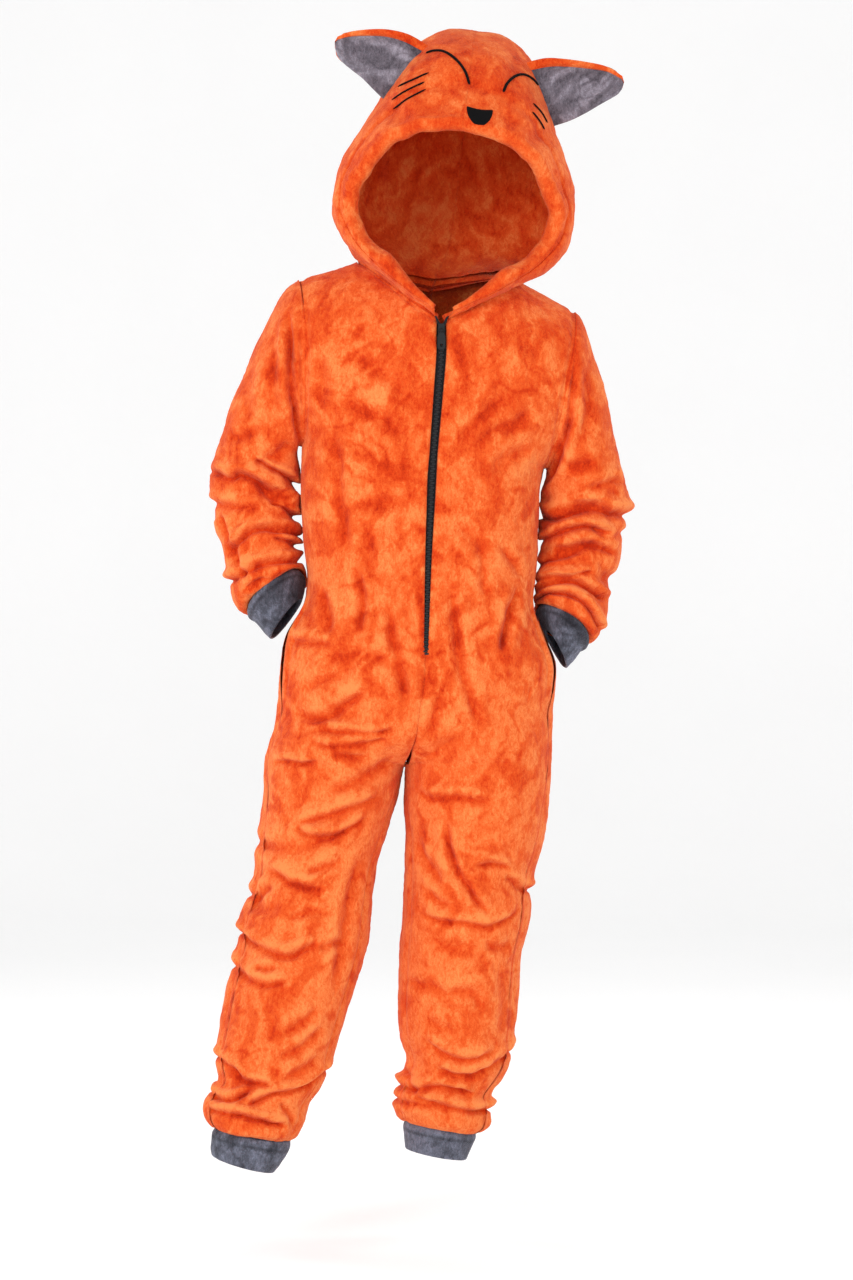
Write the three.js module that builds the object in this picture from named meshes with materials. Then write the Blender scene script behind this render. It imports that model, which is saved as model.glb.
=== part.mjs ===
// Hooded one-piece costume in short-pile plush, kept as the hollow form it takes when worn.
// Millimetres, +Z up, the front faces -Y. "right" and "left" are the wearer's.
import * as THREE from 'three';

// ---- driving dimensions -------------------------------------------------------------
const WALL = 2.0;            // plush cloth, pile pressed flat
const CUFF_WALL = 1.8;       // ribbed plush of the cuffs
const SEAM = 0.4;            // gap between pieces at a seam
const BACK_GAP = 0.35;       // gap between a panel and what lies on or under it
const TAPE_WALL = 1.0;       // zip tape
const BAG_WALL = 1.4;        // pocket bag cloth
const RIM_RADIUS = 9.5;      // rolled rim of the hood
const HOOD_TILT = 7.2;       // degrees the head leans to the wearer's left
const HOOD_FOOT = { x: 3, y: -86, z: -45 };   // where the rim's two ends meet the zip
const HOOD_SHIFT = -4;       // the hood sits this far to the right of that foot
const LINING_DEPTH = 4.5;    // lining's outer face under the hood's outer face
const LINING_RIM_DEPTH = 16; // the same at the rim, where the roll ends
const NECK_SHARE = 0.55;     // share of a panel's top edge that is neckline
const FRONT_NECK_DROP = 23;  // degrees up the chest's shoulder curve at the zip
const BACK_NECK_DROP = 55;   // the same at the nape
const SEAT_FILL = 9;         // fullness between the hips and the legs
const COLUMNS = 6;           // facets across a body panel
const RING = 12;             // facets round a sleeve or cuff
const ZIP_TOP = -50, ZIP_END = -415;          // heights of the chain's ends
const ZIP_OPEN_TOP = 4.4, ZIP_OPEN_END = 1.4; // half width left open over the chain
const CHAIN_HALF = 2.4, TAPE_IN = 2.8, TAPE_OUT = 14;
const SLIDER = { z: -58, half: 3.8, length: 13, body: 2.6, bar: 3.0, barRadius: 0.7 };
const PULL = { half: 4.4, length: 21, thick: 1.5, eye: 1.1, rim: 2.1, width: 3.4, hole: 1.7 };

// armholes: top and bottom of the loop, its half depth, how far down it is widest
const ARM = {
  right: { ox: -158, oz: 5, ix: -155, iz: -182, deep: 62, wide: 0.40 },
  left: { ox: 149, oz: -31, ix: 117, iz: -207, deep: 62, wide: 0.40 },
};
const YAW = 0.12;            // the trunk turns a little to the wearer's left
// shoulder seams: neck end of each
const NECK_SIDE = { right: { x: -92, z: 25 }, left: { x: 91, z: 1 } };
const APEX = { x: 1, z: 20 };   // height the neck curve would reach over the middle

// trunk, one row per level: side seams right and left, then the middle
// columns: right z, right x, left z, left x, mid y, front, back, exponent, seam angle, mouth gap
const TRUNK = [
  [-214, -156, -228, 113, 0, 92, 88, 2.6, 90, 0],
  [-250, -155.5, -259, 111, 0, 91, 85, 2.6, 90, 0],
  [-292, -153, -297, 109.5, 0, 90, 83, 2.6, 90, 0],
  [-328, -149.5, -332, 106, 0, 91, 83, 2.6, 88, 0],
  [-358, -153.5, -362, 105.5, 0, 92, 88, 2.6, 86, 5],
  [-392, -173, -396, 119.5, -1, 93, 95, 2.5, 84, 8],
  [-422, -178.5, -425, 130, -2, 94, 101, 2.4, 82, 7],
  [-450, -180.5, -453, 129, -1, 94, 103, 2.3, 79, 3],
  [-476, -182.5, -478, 126.5, 0, 92, 103, 2.2, 76, 0],
];
// the middle of the front and of the back by height: z, front x, back x
const MIDDLE = [
  [-45, 3, -6], [-91, 1, -14], [-135, -2.5, -22], [-179, -6, -28], [-223, -9, -33],
  [-245, -10, -34], [-289, -12, -33], [-332, -13.5, -32], [-376, -14.6, -32],
  [-415, -15.7, -33], [-442, -16.8, -34], [-475, -22, -36], [-513, -31, -38], [-545, -39.5, -40],
];

// legs, one row per level: inner edge x z, outer edge x z, mid y, front, back, exponent,
// inseam angle, side seam angle
const LEG = {
  right: [
    [-40.6, -541, -197, -541, 5, 84, 95, 2.2, 90, 74],
    [-47, -573, -199, -578, 2, 84, 92, 2.15, 76, 68],
    [-59, -614, -204, -622, -4, 82, 87, 2.1, 68, 65],
    [-71, -653, -209, -667, -10, 80, 83, 2.1, 64, 63],
    [-76, -694, -223, -706, -16, 79, 81, 2.1, 62, 62],
    [-80, -731, -228, -744, -24, 76, 79, 2.1, 62, 62],
    [-89, -766, -237, -782, -32, 74, 77, 2.1, 62, 62],
    [-102, -807, -245, -826, -42, 70, 74, 2.1, 62, 62],
    [-113.5, -845, -250, -861, -51, 66, 71, 2.1, 62, 62],
    [-122, -874, -246, -883, -57, 60, 66, 2.1, 62, 62],
    [-131.5, -893, -256, -896, -60, 58, 64, 2.1, 62, 62],
    [-144, -910, -262, -908, -64, 55, 60, 2.1, 62, 62],
    [-149, -928, -261, -922, -67, 53, 58, 2.1, 62, 62],
    [-157, -944, -254, -932, -70, 47, 52, 2.1, 62, 62],
    [-165, -950, -248.5, -934.6, -70, 39, 42, 2.1, 62, 62],
  ],
  left: [
    [-39.4, -541, 125, -541, 5, 84, 95, 2.2, 90, 74],
    [-41, -578, 122, -578, 3, 84, 92, 2.15, 76, 68],
    [-39, -622, 116, -622, 3, 82, 87, 2.1, 68, 65],
    [-40.5, -667, 104, -667, 4, 80, 84, 2.1, 64, 63],
    [-42.5, -712, 101, -712, 6, 77, 81, 2.1, 62, 62],
    [-45.5, -752, 91, -752, 8, 74, 79, 2.1, 62, 62],
    [-47, -800, 88, -800, 10, 71, 76, 2.1, 62, 62],
    [-46, -840, 84, -840, 12, 68, 73, 2.1, 62, 62],
    [-38, -867, 81, -869, 13, 64, 70, 2.1, 62, 62],
    [-44, -887, 72, -888, 14, 57, 64, 2.1, 62, 62],
    [-51, -904, 58, -908, 15, 53, 59, 2.1, 62, 62],
    [-52, -920, 60, -925, 16, 52, 57, 2.1, 62, 62],
    [-49, -933, 58, -943, 17, 48, 53, 2.1, 62, 62],
    [-43, -938, 48, -952, 17, 42, 46, 2.1, 62, 62],
    [-39, -937.6, 40, -951.6, 17, 37, 40, 2.1, 62, 62],
  ],
};
// sleeves, one row per ring: outer edge x z, inner edge x z, mid y, front, back,
// how far in it is widest, skew, exponent, rise of its front; the first ring is the armhole
const SLEEVE = {
  right: [
    [-178, -11, -158.2, -183, 1, 61, 62, 0.41, 0.10, 2],
    [-191, -37, -159.4, -184.5, 2, 60, 62, 0.43, 0.08, 2],
    [-206, -67, -160.4, -186, 3, 57, 60, 0.45, 0.06, 2.05],
    [-221, -104, -161, -188, 4, 53, 57, 0.47, 0.04, 2.1],
    [-235, -138, -161.3, -191, 6, 49, 54, 0.5, 0.02, 2.1],
    [-245, -166, -161.5, -196, 10, 48, 52, 0.5, 0, 2.1],
    [-256, -198, -162, -206, 16, 49, 52, 0.5, 0, 2.1],
    [-261, -221, -165, -218, 20, 50, 52, 0.5, 0, 2.1],
    [-256, -243, -170, -229, 20, 46, 49, 0.5, 0, 2.1],
    [-254, -260, -162, -244, 19, 48, 50, 0.5, 0, 2.1],
    [-251, -275, -168, -262, 18, 45, 47, 0.5, 0, 2.1],
    [-244, -291, -162, -280, 16, 46, 48, 0.5, 0, 2.1],
    [-241, -308, -166, -295, 14, 42, 44, 0.5, 0, 2.1],
    [-239, -330, -160, -310, 12, 43, 45, 0.5, 0, 2.1],
    [-231, -356, -156, -317, 10, 40, 42, 0.5, -0.12, 2.1, 0.18],
    [-223, -367, -154, -320, 10, 35, 37, 0.5, -0.22, 2.1, 0.3],
    [-214.5, -368.5, -156, -322, 10, 30.5, 32, 0.5, -0.28, 2.1, 0.37],
  ],
  left: [
    [161, -45, 119.5, -208, 1, 61, 62, 0.41, 0.10, 2],
    [170, -73, 120, -209, 2, 59, 62, 0.43, 0.08, 2],
    [180, -103, 120, -210.5, 3, 56, 59, 0.45, 0.06, 2.05],
    [188, -135, 119.6, -212, 5, 53, 56, 0.47, 0.04, 2.1],
    [196, -170, 119.2, -215, 7, 50, 53, 0.5, 0.02, 2.1],
    [203, -200, 118.6, -219, 10, 49, 52, 0.5, 0, 2.1],
    [210, -226, 119, -229, 16, 50, 52, 0.5, 0, 2.1],
    [213.5, -243, 125, -244, 19, 46, 49, 0.5, 0, 2.1],
    [212.5, -260, 116, -262, 20, 49, 51, 0.5, 0, 2.1],
    [208, -280, 118, -281, 19, 47, 49, 0.5, 0, 2.1],
    [205, -299, 125, -295, 18, 44, 46, 0.5, 0, 2.1],
    [199, -317, 115, -308, 16, 46, 48, 0.5, 0, 2.1],
    [189, -331, 115, -324, 14, 42, 44, 0.5, 0, 2.1],
    [190, -354, 112, -342, 12, 43, 45, 0.5, 0, 2.1],
    [184, -382, 109.5, -351, 10, 41, 43, 0.5, 0.12, 2.1, 0.2],
    [175, -398, 108.5, -358, 10, 36, 38, 0.5, 0.22, 2.1, 0.32],
    [165.5, -401.5, 110.5, -362, 10, 31, 33, 0.5, 0.28, 2.1, 0.38],
  ],
};
const WRIST = {
  right: [
    [-214.2, -368.9, -155.7, -322.4, 10, 30.5, 32, 0.5, -0.28, 2.1, 0.37],
    [-214, -374, -153.5, -325.5, 10, 33, 34.5, 0.5, -0.27, 2.1, 0.36],
    [-208, -377.5, -153, -331.5, 10, 30.5, 32, 0.5, -0.24, 2.1, 0.33],
    [-203, -383, -153.5, -337, 9.5, 28, 29.5, 0.5, -0.19, 2.1, 0.27],
    [-198, -389.5, -154, -344, 9, 27, 28.5, 0.5, -0.14, 2.1, 0.21],
    [-191.5, -396.5, -155.5, -352, 8, 25, 27, 0.5, -0.09, 2.1, 0.13],
  ],
  left: [
    [165.2, -401.9, 110.2, -362.4, 10, 31, 33, 0.5, 0.28, 2.1, 0.38],
    [165, -407, 109.5, -366, 10, 33.5, 35.5, 0.5, 0.27, 2.1, 0.37],
    [159, -410, 111, -371, 10, 31, 33, 0.5, 0.24, 2.1, 0.34],
    [154.5, -416, 113, -375.5, 9.5, 28.5, 30.5, 0.5, 0.19, 2.1, 0.28],
    [149.5, -422.5, 115.5, -380.5, 9, 27, 29, 0.5, 0.14, 2.1, 0.22],
    [143.5, -429, 118.5, -387, 8, 25, 27, 0.5, 0.09, 2.1, 0.14],
  ],
};
const ANKLE = {
  right: [
    [-248.4, -935.2, -165.1, -950.6, -70, 39, 42, 0.5, 0, 2.1],
    [-251.5, -941, -165.5, -957.5, -70.5, 40, 43, 0.5, 0, 2.1],
    [-252, -948, -169, -965, -71, 38, 41, 0.5, 0, 2.1],
    [-253, -956, -175.5, -975, -71.5, 37, 39, 0.5, 0, 2.1],
    [-252, -964, -182.5, -984, -72, 35, 37, 0.5, 0, 2.1],
  ],
  left: [
    [40, -952.2, -39.1, -938.2, 17, 37, 40, 0.5, 0, 2.1],
    [40.5, -959, -41, -945, 17, 38, 41, 0.5, 0, 2.1],
    [37, -966, -40.5, -953, 17, 36, 39, 0.5, 0, 2.1],
    [33.5, -974, -40, -961, 17, 35, 38, 0.5, 0, 2.1],
    [30, -982, -39, -969, 17, 34, 37, 0.5, 0, 2.1],
  ],
};
// hood, one row per arch from the neckline forward to the rim: seven stations from the
// foot over the ear to the middle seam, each half width, y, height above the foot
const ARCH = [
  [[9, -86, 3], [54, -76, 31], [96, -38, 61], [112, 14, 78], [98, 56, 92], [54, 82, 101], [0, 92, 104]],
  [[10, -88, 5], [61, -82, 36], [112, -44, 72], [134, 20, 116], [116, 64, 168], [66, 96, 206], [0, 106, 222]],
  [[10, -89, 7], [66, -86, 40], [122, -52, 84], [134.5, -6, 150], [105.5, 18, 226], [64, 32, 303], [0, 35, 332]],
  [[10, -91, 8], [69, -89, 43], [121, -64, 90], [132, -42, 144], [104, -46, 212], [60, -54, 279], [0, -56, 306]],
  [[11, -93, 10], [69, -92, 45], [108, -76, 84], [124, -64, 124], [106, -80, 170], [64, -104, 206], [0, -113, 219]],
];
// ears, one row per station from base to tip: upper edge x z, lower edge x z, how far the
// middle is cupped back and how far the whole station leans back from the base
const EAR = {
  right: [
    [54, 304, 92, 241, 3, 0], [74, 310, 105, 251, 9, 0], [97, 312, 118, 261.5, 12, 2],
    [119, 309.5, 131.5, 270, 12, 5], [138, 305.5, 143.5, 278.5, 8, 8], [152, 299, 152.5, 289.5, 3, 10],
  ],
  left: [
    [63, 298, 100, 238, 3, 0], [82, 303.5, 116, 246, 9, 0], [104, 306, 131, 256, 12, 2],
    [128, 306.5, 146, 268, 12, 5], [150, 305, 160.5, 279, 8, 8], [168.5, 297.5, 169.5, 287.5, 3, 10],
  ],
};
const NOSE = { x: 15.3, top: 231.5, bottom: 211.5, half: 14.2, lean: 1.5, pad: 0.6 };

// ---- small helpers ----------------------------------------------------------------
const mix = (a, b, t) => a + (b - a) * t;
const mix3 = (a, b, t) => a.map((v, i) => mix(v, b[i], t));
const rad = (d) => d * Math.PI / 180;
const smooth = (t) => { const k = Math.min(1, Math.max(0, t)); return k * k * (3 - 2 * k); };
const power = (v, n) => Math.sign(v) * Math.abs(v) ** (2 / n);
const cubic = (a, b, c, d, t) => a.map((_, i) => b[i] + 0.5 * t * (c[i] - a[i]
  + t * (2 * a[i] - 5 * b[i] + 4 * c[i] - d[i] + t * (3 * (b[i] - c[i]) + d[i] - a[i]))));
// value between the stations of a list, carried on straight past its ends
const along = (get, count, k) => {
  const i = Math.min(count - 2, Math.max(0, Math.floor(k)));
  const b = get(i), c = get(i + 1);
  const a = i > 0 ? get(i - 1) : b.map((v, j) => 2 * v - c[j]);
  const d = i + 2 < count ? get(i + 2) : c.map((v, j) => 2 * v - b[j]);
  return cubic(a, b, c, d, k - i);
};
const byHeight = (rows, z) => {
  let i = 0;
  while (i < rows.length - 2 && z < rows[i + 1][0]) i += 1;
  const t = (z - rows[i][0]) / (rows[i + 1][0] - rows[i][0]);
  return along((j) => rows[j], rows.length, i + Math.min(1, Math.max(0, t)));
};
const sub = (a, b) => [a[0] - b[0], a[1] - b[1], a[2] - b[2]];
const add = (a, b, k = 1) => [a[0] + b[0] * k, a[1] + b[1] * k, a[2] + b[2] * k];
const cross = (a, b) => [a[1] * b[2] - a[2] * b[1], a[2] * b[0] - a[0] * b[2], a[0] * b[1] - a[1] * b[0]];
const dot = (a, b) => a[0] * b[0] + a[1] * b[1] + a[2] * b[2];
const unit = (a) => { const l = Math.hypot(...a) || 1; return a.map((v) => v / l); };
const range = (n, a = 0, b = 1) => Array.from({ length: n + 1 }, (_, i) => mix(a, b, i / n));
const STEP = 0.02;
const normalOf = (fn, u, v) => unit(cross(sub(fn(u + STEP, v), fn(u - STEP, v)), sub(fn(u, v + STEP), fn(u, v - STEP))));

// ---- materials and bodies ----------------------------------------------------------
const PAINT = {
  plush: { color: 0xf0702c, roughness: 0.95, metalness: 0 },
  grey: { color: 0x5c5f69, roughness: 0.95, metalness: 0 },
  ear: { color: 0x928f9a, roughness: 0.95, metalness: 0 },
  black: { color: 0x17171a, roughness: 0.8, metalness: 0 },
  gloss: { color: 0x121215, roughness: 0.35, metalness: 0 },
};
const group = new THREE.Group();
group.name = 'cat_onesie';
// turn every face the same way round as its neighbours
const orient = (faces) => {
  const edges = new Map(), key = (a, b) => (a < b ? `${a},${b}` : `${b},${a}`);
  faces.forEach((f, i) => f.forEach((a, k) => {
    const e = key(a, f[(k + 1) % 3]);
    if (!edges.has(e)) edges.set(e, []);
    edges.get(e).push(i);
  }));
  const done = new Set(), runs = (f, a, b) => f.some((v, k) => v === a && f[(k + 1) % 3] === b);
  const out = faces.map((f) => [...f]);
  for (let seed = 0; seed < out.length; seed += 1) {
    if (done.has(seed)) continue;
    done.add(seed);
    const stack = [seed];
    while (stack.length) {
      const i = stack.pop(), f = out[i];
      f.forEach((a, k) => {
        const b = f[(k + 1) % 3];
        for (const j of edges.get(key(a, b))) {
          if (done.has(j)) continue;
          if (runs(out[j], a, b)) out[j].reverse();
          done.add(j);
          stack.push(j);
        }
      });
    }
  }
  return out;
};
const body = (name, points, loose, paint) => {
  const faces = orient(loose);
  let volume = 0;
  for (const [a, b, c] of faces) volume += dot(points[a], cross(points[b], points[c]));
  const flat = [];
  for (const f of faces) for (const k of (volume < 0 ? [f[0], f[2], f[1]] : f)) flat.push(k);
  const shape = new THREE.BufferGeometry();
  shape.setAttribute('position', new THREE.Float32BufferAttribute(points.flat(), 3));
  shape.setIndex(flat);
  shape.computeVertexNormals();
  const mesh = new THREE.Mesh(shape, new THREE.MeshStandardMaterial(PAINT[paint]));
  mesh.name = name;
  group.add(mesh);
};
// a cloth piece: fn(u, v) is its outer face, "depth" how far in the piece starts
const cloth = (name, fn, us, vs, wall, paint, { ring = false, depth = 0, facing = null } = {}) => {
  const grid = us.map((u) => vs.map((v) => ({ p: fn(u, v), n: normalOf(fn, u, v) })));
  const all = grid.flat();
  const middle = all.reduce((m, q) => add(m, q.p, 1 / all.length), [0, 0, 0]);
  const vote = all.reduce((s, q) => s + dot(q.n, facing || sub(q.p, middle)), 0);
  const k = vote < 0 ? -1 : 1;
  const points = [], nu = us.length, nv = vs.length;
  const deep = typeof depth === 'function' ? depth : () => depth;
  for (const w of [0, wall]) grid.forEach((row, i) => row.forEach((q, j) => points.push(add(q.p, q.n, -k * (deep(us[i], vs[j]) + w)))));
  const id = (layer, i, j) => layer * nu * nv + (ring ? i % nu : i) * nv + j;
  const faces = [];
  const quad = (a, b, c, d) => faces.push([a, b, c], [a, c, d]);
  const last = ring ? nu : nu - 1;
  for (let i = 0; i < last; i += 1) {
    for (let j = 0; j < nv - 1; j += 1) {
      quad(id(0, i, j), id(0, i + 1, j), id(0, i + 1, j + 1), id(0, i, j + 1));
      quad(id(1, i, j), id(1, i, j + 1), id(1, i + 1, j + 1), id(1, i + 1, j));
    }
    quad(id(0, i, 0), id(1, i, 0), id(1, i + 1, 0), id(0, i + 1, 0));
    quad(id(0, i, nv - 1), id(0, i + 1, nv - 1), id(1, i + 1, nv - 1), id(1, i, nv - 1));
  }
  if (!ring) {
    for (let j = 0; j < nv - 1; j += 1) {
      quad(id(0, 0, j), id(0, 0, j + 1), id(1, 0, j + 1), id(1, 0, j));
      quad(id(0, nu - 1, j), id(1, nu - 1, j), id(1, nu - 1, j + 1), id(0, nu - 1, j + 1));
    }
  }
  body(name, points, faces, paint);
};

// ---- the body of the garment --------------------------------------------------------
const SIDES = [['right', -1], ['left', 1]];
// the armhole, 0 at the shoulder, 90 at the front, 180 under the arm
const armhole = (side, angle, front) => {
  const a = ARM[side], c = Math.cos(angle), s = Math.sin(angle);
  const cx = mix(a.ox, a.ix, a.wide), cz = mix(a.oz, a.iz, a.wide);
  const ex = c > 0 ? a.ox : a.ix, ez = c > 0 ? a.oz : a.iz;
  const y = (front ? -1 : 1) * a.deep * s;
  return [cx + (ex - cx) * Math.abs(c) - YAW * y, y, cz + (ez - cz) * Math.abs(c)];
};
// height of the middle line at a level of the armholes
const middleHeight = (angle, front) => mix(armhole('right', angle, front)[2], armhole('left', angle, front)[2], 0.57);
const DEEP = 92;
// level of the armholes, column c from the middle to the armhole
const chest = (side, front, angle, c) => {
  const end = armhole(side, angle, front), z = middleHeight(angle, front);
  const mid = byHeight(MIDDLE, z)[front ? 1 : 2];
  const stop = Math.acos(Math.min(1, (Math.abs(end[1]) / DEEP) ** 1.2));
  const t = c * stop, out = power(Math.sin(t), 2.4) / power(Math.sin(stop), 2.4);
  return [mix(mid, end[0], out), (front ? -1 : 1) * DEEP * power(Math.cos(t), 2.4), mix(z, end[2], out)];
};
// over the shoulder: rise 0 at chest level, 1 at the neckline or shoulder seam
const shoulder = (side, front, rise, c) => {
  const q = chest(side, front, Math.PI / 2, c), neck = NECK_SIDE[side], a = ARM[side];
  const k = c / NECK_SHARE, tip = (c - NECK_SHARE) / (1 - NECK_SHARE);
  const apexX = c < NECK_SHARE ? mix(front ? HOOD_FOOT.x : -4, neck.x, Math.sin(Math.min(1, k) * Math.PI / 2)) : mix(neck.x, a.ox, tip);
  const apexZ = c < NECK_SHARE ? mix(APEX.z, neck.z, k * k) : mix(neck.z, a.oz, tip);
  const full = mix(rad(front ? FRONT_NECK_DROP : BACK_NECK_DROP), Math.PI / 2, c < NECK_SHARE ? Math.max(0, k) ** 1.3 : 1);
  const angle = full * rise, ax = apexX + (mix(a.ox, a.ix, a.wide) - a.ox) * c;
  const cs = Math.cos(angle), sn = Math.sin(angle);
  return [ax + (q[0] - ax) * cs + (apexX - ax) * sn, q[1] * cs, q[2] + (apexZ - q[2]) * sn];
};
const trunkRing = (side, row, t) => {
  const [rz, rx, lz, lx, y, f, b, n] = row;
  const x = side === 'right' ? rx : lx, z = side === 'right' ? rz : lz;
  const zm = mix(rz, lz, 0.53), m = byHeight(MIDDLE, zm), front = Math.cos(t) > 0;
  const out = power(Math.sin(t), n), mid = m[front ? 1 : 2];
  return [mix(mid, x, out), y - (front ? f : b) * power(Math.cos(t), n), mix(zm, z, out)];
};
const legRing = (side, row, t) => {
  const [ix, iz, ox, oz, y, f, b, n] = row, s = power(Math.sin(t), n);
  return [mix(ix, ox, 0.5 + 0.5 * s), y - (Math.cos(t) > 0 ? f : b) * power(Math.cos(t), n), mix(iz, oz, 0.5 + 0.5 * s)];
};
// angles of a panel's edges: front runs from 0 forward, back from 180
const trunkAngle = (row, front, c) => {
  const stop = rad(row[8] + (front ? -row[9] : row[9]));
  return front ? c * stop : Math.PI - c * (Math.PI - stop);
};
const legAngle = (row, front, c) => {
  const a = rad(row[8]), b = rad(row[9]);
  return front ? mix(-a, b, c) : mix(-a + 2 * Math.PI, b, c);
};
const bodyRows = (side, front) => {
  const rows = [];
  for (const rise of [1.33, 1, 0.67, 0.34]) rows.push((c) => shoulder(side, front, rise, c));
  for (const angle of [90, 115, 138, 160, 180]) rows.push((c) => chest(side, front, rad(angle), c));
  for (const row of TRUNK) rows.push((c) => trunkRing(side, row, trunkAngle(row, front, c)));
  const last = TRUNK[TRUNK.length - 1], first = LEG[side][0];
  for (const w of [0.3, 0.55, 0.78]) {
    rows.push((c) => {
      const a = trunkRing(side, last, trunkAngle(last, front, c)), b = legRing(side, first, legAngle(first, front, c));
      const q = w * Math.PI / 2, k = smooth(c / 0.4);
      const fill = (front ? -1 : 1) * SEAT_FILL * Math.sin(Math.PI * w) * Math.sin(Math.PI * Math.min(1, Math.max(0, c)));
      return [mix(a[0], b[0], smooth(w)), mix(a[1], b[1], mix(1 - Math.cos(q), smooth(w), k)) + fill, mix(a[2], b[2], mix(Math.sin(q), w, k))];
    });
  }
  for (const row of LEG[side]) rows.push((c) => legRing(side, row, legAngle(row, front, c)));
  return rows;
};
const ROWS = {};
for (const [side] of SIDES) for (const front of [true, false]) ROWS[side + front] = bodyRows(side, front);
const panel = (side, front) => (c, v) => {
  const rows = ROWS[side + front];
  return along((i) => rows[i](c), rows.length, v);
};
// how far a panel's middle edge stands off the middle line: open over the zip
const openHalf = (z) => (z > ZIP_TOP + 30 || z < ZIP_END ? SEAM / 2
  : mix(ZIP_OPEN_TOP, ZIP_OPEN_END, smooth((ZIP_TOP - z) / (ZIP_TOP - ZIP_END))) * smooth((z - ZIP_END) / 12 + 0.15));
// a panel with its edges drawn in by the seam gap
const cutPanel = (side, sign, front) => {
  const fn = panel(side, front), count = ROWS[side + front].length;
  return (c, v) => {
    const low = fn(0, v), near = fn(0.1, v), far = fn(0.9, v), high = fn(1, v);
    const inset = front ? openHalf(low[2]) : SEAM / 2;
    const wide = Math.hypot(...sub(near, low)) * 10, wideOut = Math.hypot(...sub(far, high)) * 10;
    return fn(mix(inset / wide, 1 - SEAM / 2 / wideOut, c), v);
  };
};
for (const [side, sign] of SIDES) {
  for (const front of [true, false]) {
    const count = ROWS[side + front].length;
    cloth(`${front ? 'front' : 'back'}_${side}`, cutPanel(side, sign, front), range(COLUMNS), [1.008, ...range(count - 3, 2, count - 1)], WALL, 'plush');
  }
}

// ---- sleeves, wrist and ankle cuffs -------------------------------------------------
const ringPoint = (row, angle) => {
  const [ox, oz, ix, iz, y, f, b, wide, skew, n, rise = 0] = row;
  const c = Math.cos(angle), s = Math.sin(angle), cx = mix(ox, ix, wide), cz = mix(oz, iz, wide);
  const k = Math.abs(power(c, n)), dy = -(s > 0 ? f : b) * power(s, n);
  return [cx + ((c > 0 ? ox : ix) - cx) * k - skew * dy, y + dy, cz + ((c > 0 ? oz : iz) - cz) * k - rise * dy];
};
const tube = (rows) => (u, v) => along((i) => ringPoint(rows[i], u * 2 * Math.PI), rows.length, v);
const around = range(RING).slice(0, RING);
for (const [side, sign] of SIDES) {
  const a = ARM[side], off = SEAM * 1.5 * sign;
  const first = [a.ox + off, a.oz, a.ix + off, a.iz, 0, a.deep, a.deep, a.wide, YAW, 2];
  const second = first.map((v, i) => (i === 0 || i === 2 ? v + 2.5 * sign : v));
  const rows = [first, second, ...SLEEVE[side]];
  cloth(`sleeve_${side}`, tube(rows), around, range(rows.length - 1, 0, rows.length - 1), WALL, 'plush', { ring: true });
  for (const [name, table] of [['wrist_cuff', WRIST], ['ankle_cuff', ANKLE]]) {
    const cuff = table[side];
    cloth(`${name}_${side}`, tube(cuff), around, range(cuff.length - 1, 0, cuff.length - 1), CUFF_WALL, 'grey', { ring: true });
  }
}

// ---- hood ---------------------------------------------------------------------------
const tilt = rad(HOOD_TILT);
const fromHood = ([x, y, z]) => [
  HOOD_FOOT.x + (x + HOOD_SHIFT * smooth(z / 60)) * Math.cos(tilt) + z * Math.sin(tilt), y,
  HOOD_FOOT.z - (x + HOOD_SHIFT * smooth(z / 60)) * Math.sin(tilt) + z * Math.cos(tilt)];
const neckline = (side, s) => {
  const front = s < 0.5, c = NECK_SHARE * (front ? s : 1 - s) * 2;
  return shoulder(side, front, 1, c);
};
// arch 0 is the neckline, 5 the rim; s 0 at the foot, 1 at the middle seam
const hoodArch = (side, sign, i, s) => {
  if (s > 1) return hoodArch(side === 'right' ? 'left' : 'right', -sign, i, 2 - s);
  if (i === 0) {
    const p = neckline(side, Math.max(0, s)), lift = SEAM * 2.6;
    return [s < 0.12 ? mix(HOOD_FOOT.x + sign * 8, p[0], s / 0.12) : p[0], p[1], p[2] + lift];
  }
  const p = along((j) => ARCH[i - 1][j], 7, s * 6);
  return fromHood([sign * p[0], p[1], p[2]]);
};
const ARCHES = ARCH.length + 1;
const hood = (side, sign) => (s, f) => along((i) => hoodArch(side, sign, i, s), ARCHES, f);
// the rim rolls inward past the last arch
const ROLL = 5;
const hoodRolled = (side, sign) => {
  const fn = hood(side, sign);
  return (s, f) => {
    if (f <= ARCHES - 1) return fn(s, f);
    const e = fn(s, ARCHES - 1), n = normalOf(fn, s, ARCHES - 1.02);
    const out = dot(n, sub(e, fromHood([0, -40, 130]))) < 0 ? n.map((v) => -v) : n;
    const ahead = unit(sub(e, fn(s, ARCHES - 1.1)));
    const turn = rad(188) * (f - ARCHES + 1) / ROLL, r = RIM_RADIUS;
    return add(add(e, out, -r * (1 - Math.cos(turn))), ahead, r * Math.sin(turn));
  };
};
const arcs = [0, 0.09, 0.18, 0.28, 0.4, 0.53, 0.67, 0.83, 1];
const bands = [0.5, 1, 1.5, 2, 2.5, 3, 3.5, 4, 4.5];
const middleGap = (sign, fn) => (s, f) => { const p = fn(s, f); return [p[0] + sign * (SEAM / 2) * smooth((s - 0.7) / 0.3), p[1], p[2]]; };
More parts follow.
